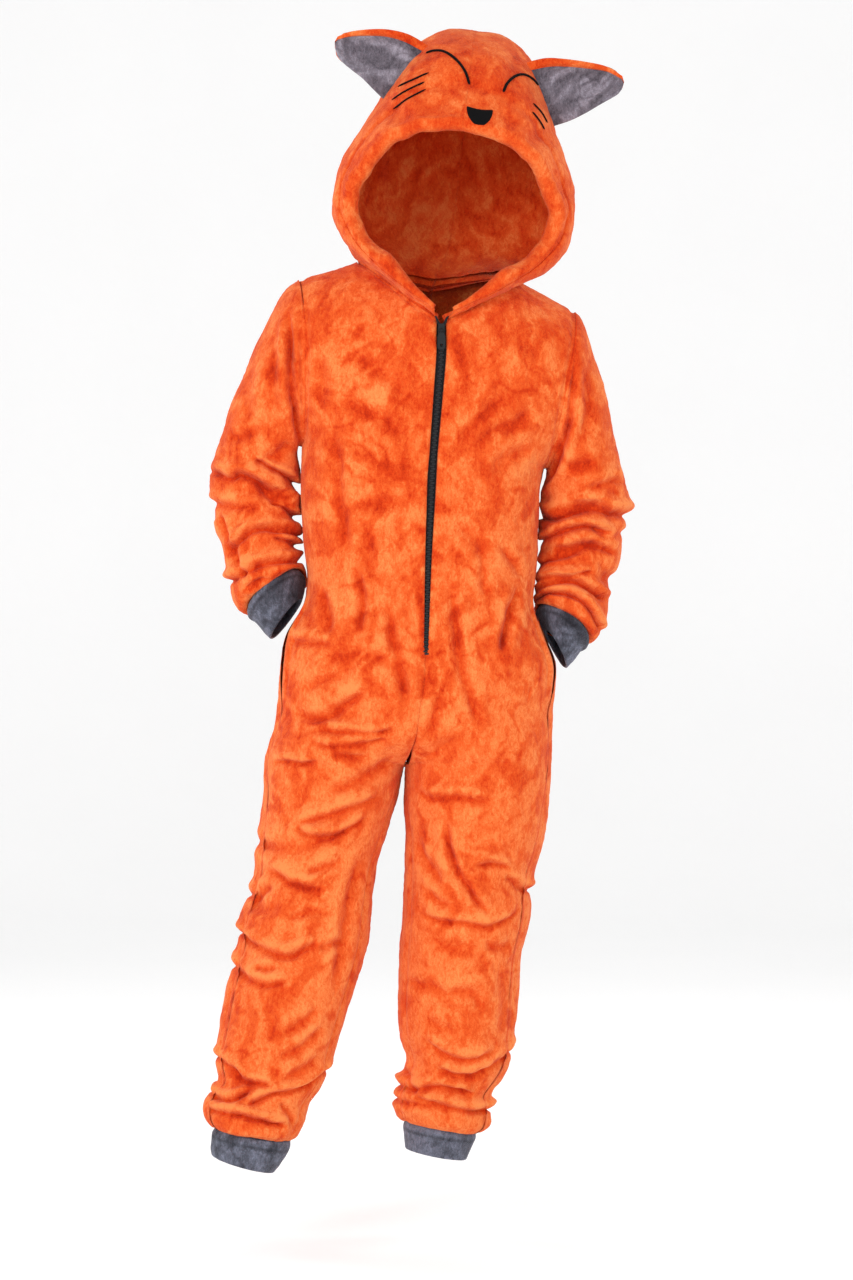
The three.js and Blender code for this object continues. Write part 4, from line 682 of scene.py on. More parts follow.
ORANGE = plush("plush_orange", lin(178, 38, 8), lin(212, 62, 17), lin(230, 92, 36), lin(248, 140, 76), (1.0, 0.6, 0.38), 0.24)
GREY = plush("plush_grey", lin(38, 38, 44), lin(58, 59, 67), lin(82, 84, 95), lin(126, 130, 148), (0.72, 0.75, 0.86), 0.28, 1.0)
EARGREY = plush("plush_ear", lin(54, 50, 57), lin(90, 84, 92), lin(121, 114, 124), lin(170, 164, 176), (0.9, 0.86, 0.92), 0.2, 0.95)


def plain(name, colour, rough, sheen=0.0, spec=0.5, bump_scale=None, bump_strength=0.3):
    m, nt, bsdf = nodes_of(name)
    pos = add(nt, "ShaderNodeTexCoord").outputs["Object"]
    n = texnoise(nt, pos, bump_scale or 900, 2, 0.5)
    a = tuple(c * 0.8 for c in colour)
    b = tuple(min(1, c * 1.25) for c in colour)
    nt.links.new(ramp(nt, n, [(0.3, a), (0.7, b)]), bsdf.inputs["Base Color"])
    bsdf.inputs["Roughness"].default_value = rough
    bsdf.inputs["Specular IOR Level"].default_value = spec
    bsdf.inputs["Sheen Weight"].default_value = sheen
    if bump_scale:
        bump = add(nt, "ShaderNodeBump")
        bump.inputs["Strength"].default_value = bump_strength
        bump.inputs["Distance"].default_value = 0.0004
        nt.links.new(n, bump.inputs["Height"])
        nt.links.new(bump.outputs["Normal"], bsdf.inputs["Normal"])
    return m


THREAD = plain("embroidery", lin(9, 8, 9), 0.8, 0.0, 0.12, 1600, 0.5)
TAPE = plain("zip_tape", lin(20, 20, 24), 0.85, 0.1, 0.3, 1400, 0.5)
TEETH = plain("zip_teeth", lin(19, 19, 23), 0.5, 0.0, 0.35)
ENAMEL = plain("zip_enamel", lin(13, 13, 16), 0.5, 0.0, 0.3)

# ------------------------------------------------------------------ body panels
NU, NV = int(118 * FINE), int(470 * FINE)


def open_half(z):
    o = mix(OPEN_TOP, OPEN_END, smooth((ZIP_TOP - z) / (ZIP_TOP - ZIP_END))) * smooth((z - ZIP_END) / 12 + 0.15)
    return np.where((z > ZIP_TOP + 30) | (z < ZIP_END), SEAM / 2, o)


def warp_v(n, lo, hi):
    """v stations spread evenly along the panel's length."""
    rows = body_stations("right", True, np.array([0.5]))[:, 0]
    d = np.concatenate([[0], np.cumsum(np.linalg.norm(np.diff(rows, axis=0), axis=1))])
    a, b = np.interp([lo, hi], np.arange(len(rows)), d)
    return np.interp(np.linspace(a, b, n), d, np.arange(len(rows)))


def panel(side, sign, front):
    cs = np.linspace(0, 1, NU)
    v = warp_v(NV, 1.0, STATIONS - 1)
    edge = np.moveaxis(cubic(body_stations(side, front, np.array([0, 0.1, 0.9, 1.0])), v), 0, 1)
    wide_in = np.linalg.norm(edge[1] - edge[0], axis=-1) * 10
    wide_out = np.linalg.norm(edge[3] - edge[2], axis=-1) * 10
    inset = open_half(edge[0][:, 2]) if front else np.full(NV, SEAM / 2)
    c0, c1 = inset / wide_in, 1 - SEAM / 2 / wide_out
    # sample on a wider set of columns, then pick by each row's own edges
    cols = np.linspace(-0.03, 1.03, NU * 2)
    st = body_stations(side, front, cols)
    full = cubic(st, v)                                  # (v, cols, 3)
    want = mix(c0[:, None], c1[:, None], cs[None, :])     # (v, u)
    k = (want + 0.03) / 1.06 * (len(cols) - 1)
    i = np.clip(k.astype(int), 0, len(cols) - 2)
    t = (k - i)[..., None]
    rows = np.arange(len(v))[:, None]
    p = full[rows, i] * (1 - t) + full[rows, i + 1] * t
    nrm_full = np.cross(np.gradient(full, axis=1), np.gradient(full, axis=0))
    nrm_full = unit(nrm_full)
    n = unit(nrm_full[rows, i] * (1 - t) + nrm_full[rows, i + 1] * t)
    p, n = np.moveaxis(p, 0, 1), np.moveaxis(n, 0, 1)
    n = outward(p, n)
    return p, n, v


SUNK = {"deep": (1.1, 3.0), "on": (0.5, 2.4)}
FLAT = {"deep": (0.15, 0.7), "on": (1.6, 5.0)}


def carried(q, n, inner, first, deep=(1.1, 3.0), on=(0.5, 2.4)):
    """Two rows past an edge q, carried on towards the neighbouring piece: sunk, or flat under it."""
    t = unit(q - inner)
    rows = [q - n * d + t * np.asarray(o) for d, o in zip(deep, on)]
    return rows[::-1] if first else rows


PANELS = {}
for side, sign in SIDES:
    for front in (True, False):
        p, n, v = panel(side, sign, front)
        off, deep = creases(p, n, BODYLINES)
        # distance to the side edges in mm, for the seam's dip
        du = np.linalg.norm(np.diff(p, axis=0), axis=-1)
        run = np.concatenate([np.zeros((1, p.shape[1])), np.cumsum(du, 0)], 0)
        left, right = run, run[-1:] - run
        z = p[..., 2]
        mouth = smooth((z + 470) / 30) * smooth((-335 - z) / 25)
        dip = 1.5 * np.exp(-((right - 3) / 3.6) ** 2) * (1 - 0.8 * mouth)
        if front:
            zipped = smooth((z - ZIP_END + 8) / 20) * smooth((ZIP_TOP + 12 - z) / 14)
            dip = dip + mix(1.7, 0.4, zipped) * np.exp(-(left / 5.5) ** 2)
            dip = dip - 1.1 * np.exp(-((left - 9) / 6) ** 2) * zipped
            # the stitched line inside the pocket mouth
            dip = dip + 1.3 * np.exp(-((right - 14) / 2.6) ** 2) * mouth - 1.4 * np.exp(-((right - 7) / 5) ** 2) * mouth
        else:
            dip = dip + 1.3 * np.exp(-(left / 5.0) ** 2)
        dv = np.linalg.norm(np.diff(p, axis=1), axis=-1)
        runv = np.concatenate([np.zeros((p.shape[0], 1)), np.cumsum(dv, 1)], 1)
        dip = dip + 1.2 * np.exp(-((runv - 3.5) / 3.6) ** 2)
        calm = smooth(np.minimum(np.minimum(left, right), runv) / 8)
        # creases may not lift the cloth over the zip
        if front:
            off = np.where(zipped > 0, mix(off, off * smooth(left / 22), zipped), off)
        h = off * (0.2 + 0.8 * calm) * smooth(runv / 12) + nap(p, 0.95) * (0.1 + 0.9 * calm) - dip
        q = p + n * h[..., None]
        # every edge goes on under its neighbour, so a seam shows as a soft furrow
        along = (1 - zipped[0] * 0.85)[:, None] if front else np.ones((q.shape[1], 1))
        under = side == "left"
        lo = carried(q[0], n[0], q[2], True, deep=(0.2, 0.8) if under and not front else (1.0, 2.8), on=((1.4 if under else 0.4) * along, (4.0 if under else 1.6) * along))
        hi = carried(q[-1], n[-1], q[-3], False, **(SUNK if front else FLAT))
        grid = np.concatenate([lo[0][None], lo[1][None], q, hi[0][None], hi[1][None]], 0)
        nn = np.concatenate([n[:1], n[:1], n, n[-1:], n[-1:]], 0)
        top = carried(grid[:, 0], nn[:, 0], grid[:, 3], True, deep=(0.8, 2.0), on=(1.4, 7.0))
        low = carried(grid[:, -1], nn[:, -1], grid[:, -4], False)
        grid = np.concatenate([top[0][:, None], top[1][:, None], grid, low[0][:, None], low[1][:, None]], 1)
        # painted shade from the creases, and painted shade on the edge rows tucked under the neighbouring piece
        painted_shading = np.pad(deep, ((2, 2), (2, 2)), constant_values=0.5)
        node = f"{'front' if front else 'back'}_{side}"
        obj = make("cloth_" + node, grid, replaces=[node], mat=ORANGE, painted_shading=painted_shading)
        PANELS[node] = (p, n, v, obj, q)

# ------------------------------------------------------------------ sleeves and cuffs
def tube_grid(rows, nu, nv, start=0.0, end=None):
    ang = np.arange(nu) / nu * 2 * math.pi
    st = ring_stations(rows, ang)
    end = len(rows) - 1 if end is None else end
    mid = st[:, :, :].mean(1)
    d = np.concatenate([[0], np.cumsum(np.linalg.norm(np.diff(mid, axis=0), axis=1) + 3.0)])
    a, b = np.interp([start, end], np.arange(len(rows)), d)
    v = np.interp(np.linspace(a, b, nv), d, np.arange(len(rows)))
    p = np.moveaxis(cubic(st, v), 0, 1)
    n = outward_ring(p)
    return p, n


def outward_ring(p):
    n = grid_normals(p, ring=True)
    centre = p.mean(0, keepdims=True)
    return n if (n * (p - centre)).sum() > 0 else -n


def side_profile(side, sign):
    """How far the trunk's cloth reaches sideways, on a grid of heights and depths."""
    zs, ys = np.arange(-480, -150, 3.0), np.arange(-66, 90, 6.0)
    far = np.full((len(zs), len(ys)), -1e3)
    for key in ("front_", "back_"):
        q = PANELS[key + side][4].reshape(-1, 3)
        i = np.round((q[:, 2] - zs[0]) / 3.0).astype(int)
        j = np.round((q[:, 1] - ys[0]) / 6.0).astype(int)
        ok = (i >= 0) & (i < len(zs)) & (j >= 0) & (j < len(ys))
        np.maximum.at(far, (i[ok], j[ok]), q[ok, 0] * sign)
    grown = far.copy()
    for di in (-1, 0, 1):
        for dj in (-1, 0, 1):
            grown = np.maximum(grown, np.roll(np.roll(far, di, 0), dj, 1))
    return zs, ys, grown


def lean_in(side, sign, q, n):
    """The sleeve's inner side rests beside the trunk, just clear of it."""
    zs, ys, far = side_profile(side, sign)
    i = np.clip((q[..., 2] - zs[0]) / 3.0, 0, len(zs) - 1.001)
    j = np.clip((q[..., 1] - ys[0]) / 6.0, 0, len(ys) - 1.001)
    a, b = i.astype(int), j.astype(int)
    u, v = i - a, j - b
    wall = far[a, b] * (1 - u) * (1 - v) + far[a + 1, b] * u * (1 - v) + far[a, b + 1] * (1 - u) * v + far[a + 1, b + 1] * u * v
    x = q[..., 0] * sign
    gap = x - wall - 1.0
    facing = smooth((-sign * n[..., 0] - 0.25) / 0.45) * smooth((ARM[side][3] - 2 - q[..., 2]) / 26)
    shift = np.where(wall > 0, np.clip(gap, 0, 10.0) * facing * 0.85, 0.0)
    for _ in range(14):
        shift = (2 * shift + np.roll(shift, 1, 0) + np.roll(shift, -1, 0)) / 4
        ends = np.pad(shift, ((0, 0), (1, 1)), mode="edge")
        shift = (2 * shift + ends[:, 2:] + ends[:, :-2]) / 4
    shift = np.where((wall > 0) & (q[..., 2] < ARM[side][3] - 6), np.minimum(shift, gap), shift)
    out = q.copy()
    out[..., 0] -= sign * shift
    return out


TUBES = {}
for side, sign in SIDES:
    ox, oz, ix, iz, deep_, wide = ARM[side]
    off_ = SEAM * 1.5 * sign
    first = (ox + off_, oz, ix + off_, iz, 0, deep_, deep_, wide, YAW, 2)
    second = (first[0] + 2.5 * sign, first[1], first[2] + 2.5 * sign, *first[3:])
    rows = [first, second, *SLEEVE[side]]
    p, n = tube_grid(rows, int(190 * FINE), int(240 * FINE))
    off, deep = creases(p, n, SLEEVELINES)
    dv = np.linalg.norm(np.diff(p, axis=1), axis=-1)
    run = np.concatenate([np.zeros((p.shape[0], 1)), np.cumsum(dv, 1)], 1)
    to_end = run[:, -1:] - run
    calm = smooth(run / 9) * smooth(to_end / 5)
    dip = 1.2 * np.exp(-((run - 3) / 3.6) ** 2) + 1.0 * np.exp(-(to_end / 3.0) ** 2)
    h = off * calm + nap(p, 0.95) * (0.1 + 0.9 * calm) - dip
    q = lean_in(side, sign, p + n * h[..., None], n)
    start = carried(q[:, 0], n[:, 0], q[:, 3], True, **FLAT)
    stop = carried(q[:, -1], n[:, -1], q[:, -4], False, on=(0.4, 1.0), deep=(1.2, 2.8))
    grid = np.concatenate([start[0][:, None], start[1][:, None], q, stop[0][:, None], stop[1][:, None]], 1)
    # painted shade from the creases, and on the rows tucked under at each end
    painted_shading = np.pad(deep, ((0, 0), (2, 2)), constant_values=0.5)
    TUBES["sleeve_" + side] = make("cloth_sleeve_" + side, grid, ring=True, replaces=["sleeve_" + side], mat=ORANGE, painted_shading=painted_shading)
    for name, table in (("wrist_cuff", WRIST), ("ankle_cuff", ANKLE)):
        p, n = tube_grid(table[side], int(150 * FINE), int(40 * FINE))
        q = p + n * nap(p, 0.5)[..., None]
        start = carried(q[:, 0], n[:, 0], q[:, 3], True, on=(1.0, 4.0), deep=(0.4, 1.4))
        k = int(22 * FINE)
        inner = (q[:, -k::3] - n[:, -k::3] * 3.2)[:, ::-1]
        out = unit(q[:, -1] - q[:, -3])
        lip = [(q[:, -1] - n[:, -1] * d + out * o)[:, None] for d, o in ((0.5, 1.0), (1.6, 1.4), (2.7, 1.0))]
        grid = np.concatenate([start[0][:, None], start[1][:, None], q, *lip, inner], 1)
        # painted shade: on the two rows tucked under the sleeve or leg, in a ring about 9 mm from the join, and on the
        # turned-in inner side
        painted_shading = np.zeros(grid.shape[:2])
        painted_shading[:, :2] = 0.8
        run = np.concatenate([[0.0], np.cumsum(np.linalg.norm(np.diff(p, axis=1), axis=-1).mean(0))])
        cuff_crease_shade = np.exp(-(((run - 8.5) / 1.8) ** 2)) if name == "wrist_cuff" else np.exp(-(((run - 9.5) / 2.0) ** 2))
        painted_shading[:, 2:2 + q.shape[1]] += 0.7 * cuff_crease_shade[None]
        painted_shading[:, -inner.shape[1]:] = 0.5
        TUBES[name + "_" + side] = make("cloth_" + name + "_" + side, grid, ring=True, replaces=[name + "_" + side], mat=GREY, painted_shading=painted_shading)

# ------------------------------------------------------------------ hood
def hood_frame(side, sign, s, f):
    """Hood surface at stations s and f (f up to 5), with outward normals."""
    step_s, step_f = 0.01, 0.02
    p = hood_grid(side, sign, s, f)
    du = hood_grid(side, sign, np.maximum(s + step_s, 0), f) - hood_grid(side, sign, np.maximum(s - step_s, 0), f)
    dv = hood_grid(side, sign, s, f + step_f) - hood_grid(side, sign, s, f - step_f)
    n = unit(np.cross(du, dv))
    centre = from_hood(np.array([0.0, -20.0, 130.0]))
    return p, (n if (n * (p - centre)).sum() > 0 else -n)


# soft creases of the hood, in its own frame: start x z, end x z, depth, half width
HOODFOLDS = [
    (-96, 236, -70, 200, -2.6, 10), (96, 232, 74, 196, -2.6, 10), (-122, 150, -92, 176, -2.4, 11), (124, 150, 96, 172, -2.4, 11),
    (-60, 300, -30, 250, -1.8, 12), (40, 314, 46, 262, -1.8, 12), (-104, 210, -60, 214, -1.8, 10), (100, 206, 66, 212, -1.8, 10),
    (-118, 96, -80, 74, -2.6, 9), (112, 96, 82, 74, -2.6, 9), (-128, 132, -110, 100, -2.0, 9), (126, 130, 112, 98, -2.0, 9),
    (-20, 250, -46, 216, -1.6, 10), (30, 246, 52, 214, -1.6, 10),
]


def hood_folds(p):
    d = p - np.array(FOOT)
    x = d[..., 0] * CT - d[..., 2] * ST
    z = d[..., 0] * ST + d[..., 2] * CT
    off, deep = np.zeros(p.shape[:-1]), np.zeros(p.shape[:-1])
    wob = 4 * noise(p, 30, 6)
    for x0, z0, x1, z1, dep, w in HOODFOLDS:
        ax, az = x1 - x0, z1 - z0
        length = math.hypot(ax, az)
        ux, uz = ax / length, az / length
        s = ((x - x0) * ux + (z - z0) * uz) / length
        t = (-(x - x0) * uz + (z - z0) * ux + wob) / w
        fade = smooth((s + 0.15) / 0.35) * smooth((1.15 - s) / 0.35)
        tr = np.exp(-t * t * 1.5)
        off += dep * fade * (tr - 0.4 * np.exp(-((np.abs(t) - 1.8) ** 2)))
        # painted shade in the crease's trough
        deep = np.maximum(deep, fade * tr * 0.5)
    # at the back, three folds where the hood meets the nape
    for zc, w, dep in ((70, 9, -3.2), (96, 10, -2.6), (130, 12, -2.0)):
        back = smooth((p[..., 1] - 30) / 40)
        t = (z - zc + 8 * np.cos(x / 60) + wob) / w
        off += dep * back * np.exp(-t * t)
        # painted shade in the nape folds
        deep = np.maximum(deep, 0.5 * back * np.exp(-t * t))
    return off, deep


HOODS, TREES = {}, {}
RIM_N = int(30 * FINE)
for side, sign in SIDES:
    s = np.linspace(0, 1, int(150 * FINE))
    f = np.linspace(0.02, 5, int(150 * FINE))
    p, n = hood_frame(side, sign, s, f)
    off, deep = hood_folds(p)
    ds = np.concatenate([[np.zeros(p.shape[1])], np.cumsum(np.linalg.norm(np.diff(p, axis=0), axis=-1), 0)], 0)
    to_mid = ds[-1:] - ds
    h = off * smooth(to_mid / 12) + nap(p, 0.9) - 1.3 * np.exp(-(to_mid / 4.5) ** 2)
    rise = np.concatenate([[0.0], np.cumsum(np.linalg.norm(np.diff(p.mean(0), axis=0), axis=-1))])
    crown = smooth((((p - np.array(FOOT))[..., 0] * ST + (p - np.array(FOOT))[..., 2] * CT) - 225) / 60)
    h = h + crown * (4.0 * np.exp(-(((to_mid - 30) / 22) ** 2)) - 1.6 * np.exp(-((to_mid / 9) ** 2)))
    h = h * smooth(rise[None] / 9) - 1.2 * np.exp(-((rise[None] - 3.5) / 3.6) ** 2)
    to_rim = rise[-1] - rise
    # a stitched line behind the rolled rim
    groove = np.exp(-((to_rim[None] - 17) / 3.2) ** 2) * smooth(s[:, None] / 0.1)
    h = h - 1.7 * groove
    q = p + n * h[..., None]
    e, en = q[:, -1], n[:, -1]
    ahead = unit(p[:, -1] - hood_grid(side, sign, s, np.array([4.9]))[:, 0])
    ahead = unit(ahead - en * (ahead * en).sum(-1, keepdims=True))
    roll, rolln = [], []
    for k in range(1, RIM_N + 1):
        a = math.radians(196) * k / RIM_N
        r = (RIM_RADIUS * (1 + 0.05 * noise(p[:, -1], 36, 9)) * (0.22 + 0.78 * smooth(s / 0.16)))[:, None]
        pt = e - en * r * (1 - math.cos(a)) + ahead * r * math.sin(a)
        rn = unit(en * math.cos(a) + ahead * math.sin(a))
        roll.append(pt + rn * nap(pt, 0.7)[:, None])
        rolln.append(rn)
    roll, rolln = np.stack(roll, 1), np.stack(rolln, 1)
    body, bn = np.concatenate([q, roll], 1), np.concatenate([n, rolln], 1)
    TREES[side] = BVHTree.FromPolygons(body.reshape(-1, 3).tolist(), grid_faces(body.shape[0], body.shape[1], False).tolist())
    # painted shade in the creases and in the stitched groove, none on the rolled rim
    painted_shading = np.concatenate([deep + 0.35 * groove, np.zeros(roll.shape[:2])], 1)
    low = carried(body[:, 0], bn[:, 0], body[:, 3], True, deep=(0.3, 1.6), on=(2.0, 8.0))
    grid = np.concatenate([low[0][:, None], low[1][:, None], body], 1)
    nn = np.concatenate([bn[:, :1], bn[:, :1], bn], 1)
    mid = carried(grid[-1], nn[-1], grid[-4], False, **(FLAT if side == "left" else SUNK))
    cap = np.repeat(mix(grid[0, -RIM_N - 1], grid[0, -1], 0.5)[None], grid.shape[1], 0)
    cap[: -RIM_N - 1] = grid[0, : -RIM_N - 1] - nn[0, : -RIM_N - 1] * 1.5
    grid = np.concatenate([cap[None], grid, mid[0][None], mid[1][None]], 0)
    # painted shade on the rows tucked under the neighbouring pieces
    painted_shading = np.pad(painted_shading, ((1, 2), (2, 0)), constant_values=0.5)
    HOODS["hood_" + side] = make("cloth_hood_" + side, grid, replaces=["hood_" + side], mat=ORANGE, painted_shading=painted_shading)
    # lining: its visible face looks into the hood
    s2, f2 = np.linspace(0.09, 1, int(90 * FINE)), np.linspace(0.12, 4.97, int(90 * FINE))
    p2, n2 = hood_frame(side, sign, s2, f2)
    depth = LINING_DEPTH + (LINING_RIM_DEPTH - LINING_DEPTH) * smooth((f2[None] - 3.7) / 1.3) * smooth((s2[:, None] - 0.05) / 0.45)
    h2 = 1.6 * noise(p2, (40, 40, 50), 8) + 0.7 * noise(p2, 14, 7)
    # painted shade over the whole lining inside the hood, stronger or weaker at random
    lining_painted_shading = np.clip(0.2 + 0.3 * noise(p2, 60, 12), 0, 1)
    # folds of the lining, fanning back from the rim
    for at_s, at_w, at_d in ((0.36, 0.016, 2.6), (0.47, 0.02, 3.2), (0.6, 0.018, 2.6), (0.73, 0.02, 3.2), (0.86, 0.016, 2.4)):
        k = (s2[:, None] - at_s - 0.02 * np.sin(f2[None] * 2.3 + at_s * 40)) / at_w
        g = np.exp(-k * k) * smooth((5.1 - f2[None]) / 0.8) * smooth((f2[None] - 1.2) / 1.2)
        h2 = h2 - at_d * (g - 0.4 * np.exp(-((np.abs(k) - 2) ** 2)))
        # painted shade in these folds
        lining_painted_shading = lining_painted_shading + 0.6 * g
    q2 = p2 - n2 * (depth + WALL - h2)[..., None]
    far = q2[-1] + n2[-1] * 2.0 + unit(q2[-1] - q2[-3]) * 1.5
    q2 = np.concatenate([q2, far[None]], 0)
    # painted shade on the far edge row
    lining_painted_shading = np.pad(np.clip(lining_painted_shading, 0, 1), ((0, 1), (0, 0)), constant_values=0.8)
    HOODS["hood_lining_" + side] = make("cloth_hood_lining_" + side, q2, replaces=["hood_lining_" + side], mat=ORANGE, painted_shading=lining_painted_shading)


def hood_point(x, z, lift):
    """The hood's front at x, z of its own frame, and its normal."""
    want = from_hood(np.array([float(x), 0.0, float(z)]))
    pts, nor = [], []
    for dx, dz in ((0, 0), (2.2, 0), (-2.2, 0), (0, 2.2), (0, -2.2)):
        hits = []
        for tree in TREES.values():
            hit, normal, _, dist = tree.ray_cast(Vector((want[0] + dx, -400, want[2] + dz)), Vector((0, 1, 0)))
            if hit is not None:
                hits.append((dist, np.array(hit), np.array(normal)))
        if hits:
            _, hit, normal = min(hits, key=lambda h: h[0])
            pts.append(hit - np.array([dx, 0, dz]))
            nor.append(normal if normal[1] < 0 else -normal)
    nn = unit(np.mean(nor, 0))
    if not pts:
        raise ValueError(f"no hood at {x}, {z}")
    y = np.median([q[1] for q in pts])
    return np.array([want[0], y, want[2]]) + nn * lift, nn


# ------------------------------------------------------------------ ears
for side, sign in SIDES:
    EAR_ROWS = np.array(EAR[side], float)
    first_row = EAR_ROWS[0]
    foot = [hood_point(sign * mix(first_row[0], first_row[2], w), mix(first_row[1], first_row[3], w), 6.5)[0][1] for w in (0.04, 0.5, 0.9)]

    def ear(b, a):
        row = cubic(EAR_ROWS, a * (len(EAR_ROWS) - 1))
        bb, rr = b[:, None], row[None, :, :]
        y = cubic(np.array(foot)[:, None], b * 2)[:, 0][:, None]
        grow = smooth(a * 3)[None]
        bend = rr[..., 4] * np.sin(math.pi * np.clip(bb, 0, 1)) - 7 * grow * (1 - smooth(bb * 4)) * (1 - smooth(a[None] * 1.2 - 0.2))
        pt = from_hood(np.stack([sign * mix(rr[..., 0], rr[..., 2], bb), 0 * bend, mix(rr[..., 1], rr[..., 3], bb)], -1))
        pt[..., 1] = mix(y, foot[1] + 4, smooth(a * 1.5)[None]) + rr[..., 5] + bend * 1.1
        return pt

    def ear_normals(b, a):
        e = 0.01
        n = unit(np.cross(ear(b + e, a) - ear(b - e, a), ear(b, a + e) - ear(b, a - e)))
        return n if n[..., 1].sum() < 0 else -n

    thick = 2 * WALL + 1.2
    a = np.linspace(-0.05, 1.0, int(84 * FINE))
    b = np.linspace(0, 1, int(60 * FINE))
    p, n = ear(b, a), ear_normals(b, a)
    slim = (0.35 + 0.65 * smooth((1 - a) / 0.12))[None, :, None]
    # orange piece: the back, round the top edge, and a narrow band in front of it
    back = p - n * (thick + nap(p, 0.6))[..., None] * slim
    over = []
    for k in np.linspace(0, 1, 9)[1:-1]:
        th = math.pi * k
        outdir = unit(p[0] - p[4])
        over.append(p[0] - n[0] * thick * slim[0] * (0.5 + 0.5 * math.cos(th)) + outdir * 3.0 * math.sin(th))
    band = p[: max(3, int(len(b) * 0.12))]
    nband = n[: len(band)]
    band = band + nband * (0.9 * np.sin(math.pi * np.linspace(0, 1, len(band))) - 0.3)[:, None, None]
    loop = np.concatenate([back[::-1], np.array(over), band], 0)
    tip = loop[:, -1].mean(0) + unit(p[len(b) // 2, -1] - p[len(b) // 2, -6]) * 2.2
    loop = np.concatenate([loop, mix(loop[:, -1:], tip, 0.6), np.repeat(tip[None, None], len(loop), 0)], 1)
    make("cloth_ear_back_" + side, loop, replaces=["ear_back_" + side], mat=ORANGE, painted_shading=np.zeros(loop.shape[:2]))
    # grey piece: the whole front under the band, rolled over the lower edge and the tip
    b2, a2 = np.linspace(0.09, 1.0, int(56 * FINE)), np.linspace(-0.05, 0.995, int(76 * FINE))
    p, n = ear(b2, a2), ear_normals(b2, a2)
    slim = (0.35 + 0.65 * smooth((1 - a2) / 0.12))[None, :, None]
    top = smooth((b2[:, None] - 0.09) / 0.05)
    q = p + n * ((nap(p, 0.55) + 0.5) * top - 0.8 * (1 - top))[..., None]
    under = []
    for k in np.linspace(0, 1, 7)[1:]:
        th = math.pi * k
        outdir = unit(p[-1] - p[-5])
        under.append(p[-1] + n[-1] * 0.5 - n[-1] * (thick + 0.9) * slim[0] * (0.5 - 0.5 * math.cos(th)) + outdir * 3.2 * math.sin(th))
    q = np.concatenate([q, np.array(under)], 0)
    end = q[:, -1:].mean(0, keepdims=True) + unit(p[len(b2) // 2, -1] - p[len(b2) // 2, -6]) * 2.4 + n[len(b2) // 2, -1] * 0.3
    q = np.concatenate([q, mix(q[:, -1:], end, 0.55), np.repeat(end, len(q), 0)], 1)
    # painted shade along the grey front's top edge under the orange band, and at the ear's root where it meets the hood
    painted_shading = 0.25 * (1 - np.pad(top * np.ones((1, len(a2))), ((0, 6), (0, 2)), constant_values=1))
    painted_shading = painted_shading + 0.5 * smooth((0.1 - np.pad(a2, (0, 2), constant_values=1)[None]) / 0.1)
    make("cloth_ear_front_" + side, q, replaces=["ear_front_" + side], mat=EARGREY, painted_shading=painted_shading)


# ------------------------------------------------------------------ embroidery
def satin(name, line, half, mat=None, lift=0.9, replaces=(), height=1.1, at=hood_point, ends=True):
    """A raised satin-stitch line along points given in the hood's own frame."""
    line = np.array(line, float)
    n_pts = max(14, int(len(line) * 9))
    k = np.linspace(0, len(line) - 1, n_pts)
    xz = cubic(line, k)
    mid, nor = zip(*[at(x, z, lift) for x, z in xz])
    mid, nor = np.array(mid), np.array(nor)
    for _ in range(3):                       # even out the looked-up depth
        mid[1:-1] = 0.25 * mid[:-2] + 0.5 * mid[1:-1] + 0.25 * mid[2:]
        nor[1:-1] = unit(0.25 * nor[:-2] + 0.5 * nor[1:-1] + 0.25 * nor[2:])
    tan = unit(np.gradient(mid, axis=0))
    acr = unit(np.cross(nor, tan))
    taper = np.sqrt(np.clip(np.minimum(k, k[-1] - k) / 0.22, 0.02, 1)) if ends else np.ones_like(k)
    pts = []
    for t in np.linspace(0, 2 * math.pi, 13)[:-1]:
        c, s = math.cos(t), math.sin(t)
        pts.append(mid + acr * (half * c * taper)[:, None] + nor * ((height * max(s, -0.8) * taper))[:, None])
    grid = np.array(pts)
    cap0, cap1 = grid[:, :1].mean(0, keepdims=True).repeat(len(grid), 0), grid[:, -1:].mean(0, keepdims=True).repeat(len(grid), 0)
    grid = np.concatenate([cap0, grid, cap1], 1)
    return make(name, grid, ring=True, mat=mat or THREAD, replaces=replaces, pile=False)


EYES = {
    "eye_right": [(-51.5, 293), (-44, 295.2), (-33.7, 294.4), (-23.4, 289.5), (-13.3, 281), (-5, 270.3), (0.8, 257.2)],
    "eye_left": [(38.5, 254.4), (40.8, 263.7), (45.3, 271.8), (51.5, 278.2), (59.4, 281.2), (67.8, 280.2), (76.1, 275)],
}
WHISKERS = {
    "whisker_right_1": [(-77.3, 249.1), (-61.7, 257.0), (-45.1, 266.4)],
    "whisker_right_2": [(-81.9, 233.0), (-64.6, 245.1), (-48.1, 255.0)],
    "whisker_right_3": [(-79.4, 222.2), (-63.2, 234.2), (-45.9, 246.4)],
    "whisker_left_1": [(72.2, 248.7), (82.0, 241.5), (91.0, 231.6)],
    "whisker_left_2": [(72.5, 238.1), (81.2, 230.3), (88.4, 222.4)],
}
for name, line in EYES.items():
    satin("stitched_" + name, line, 1.6)
for name, line in WHISKERS.items():
    satin("stitched_" + name, line, 1.0, height=1.0)

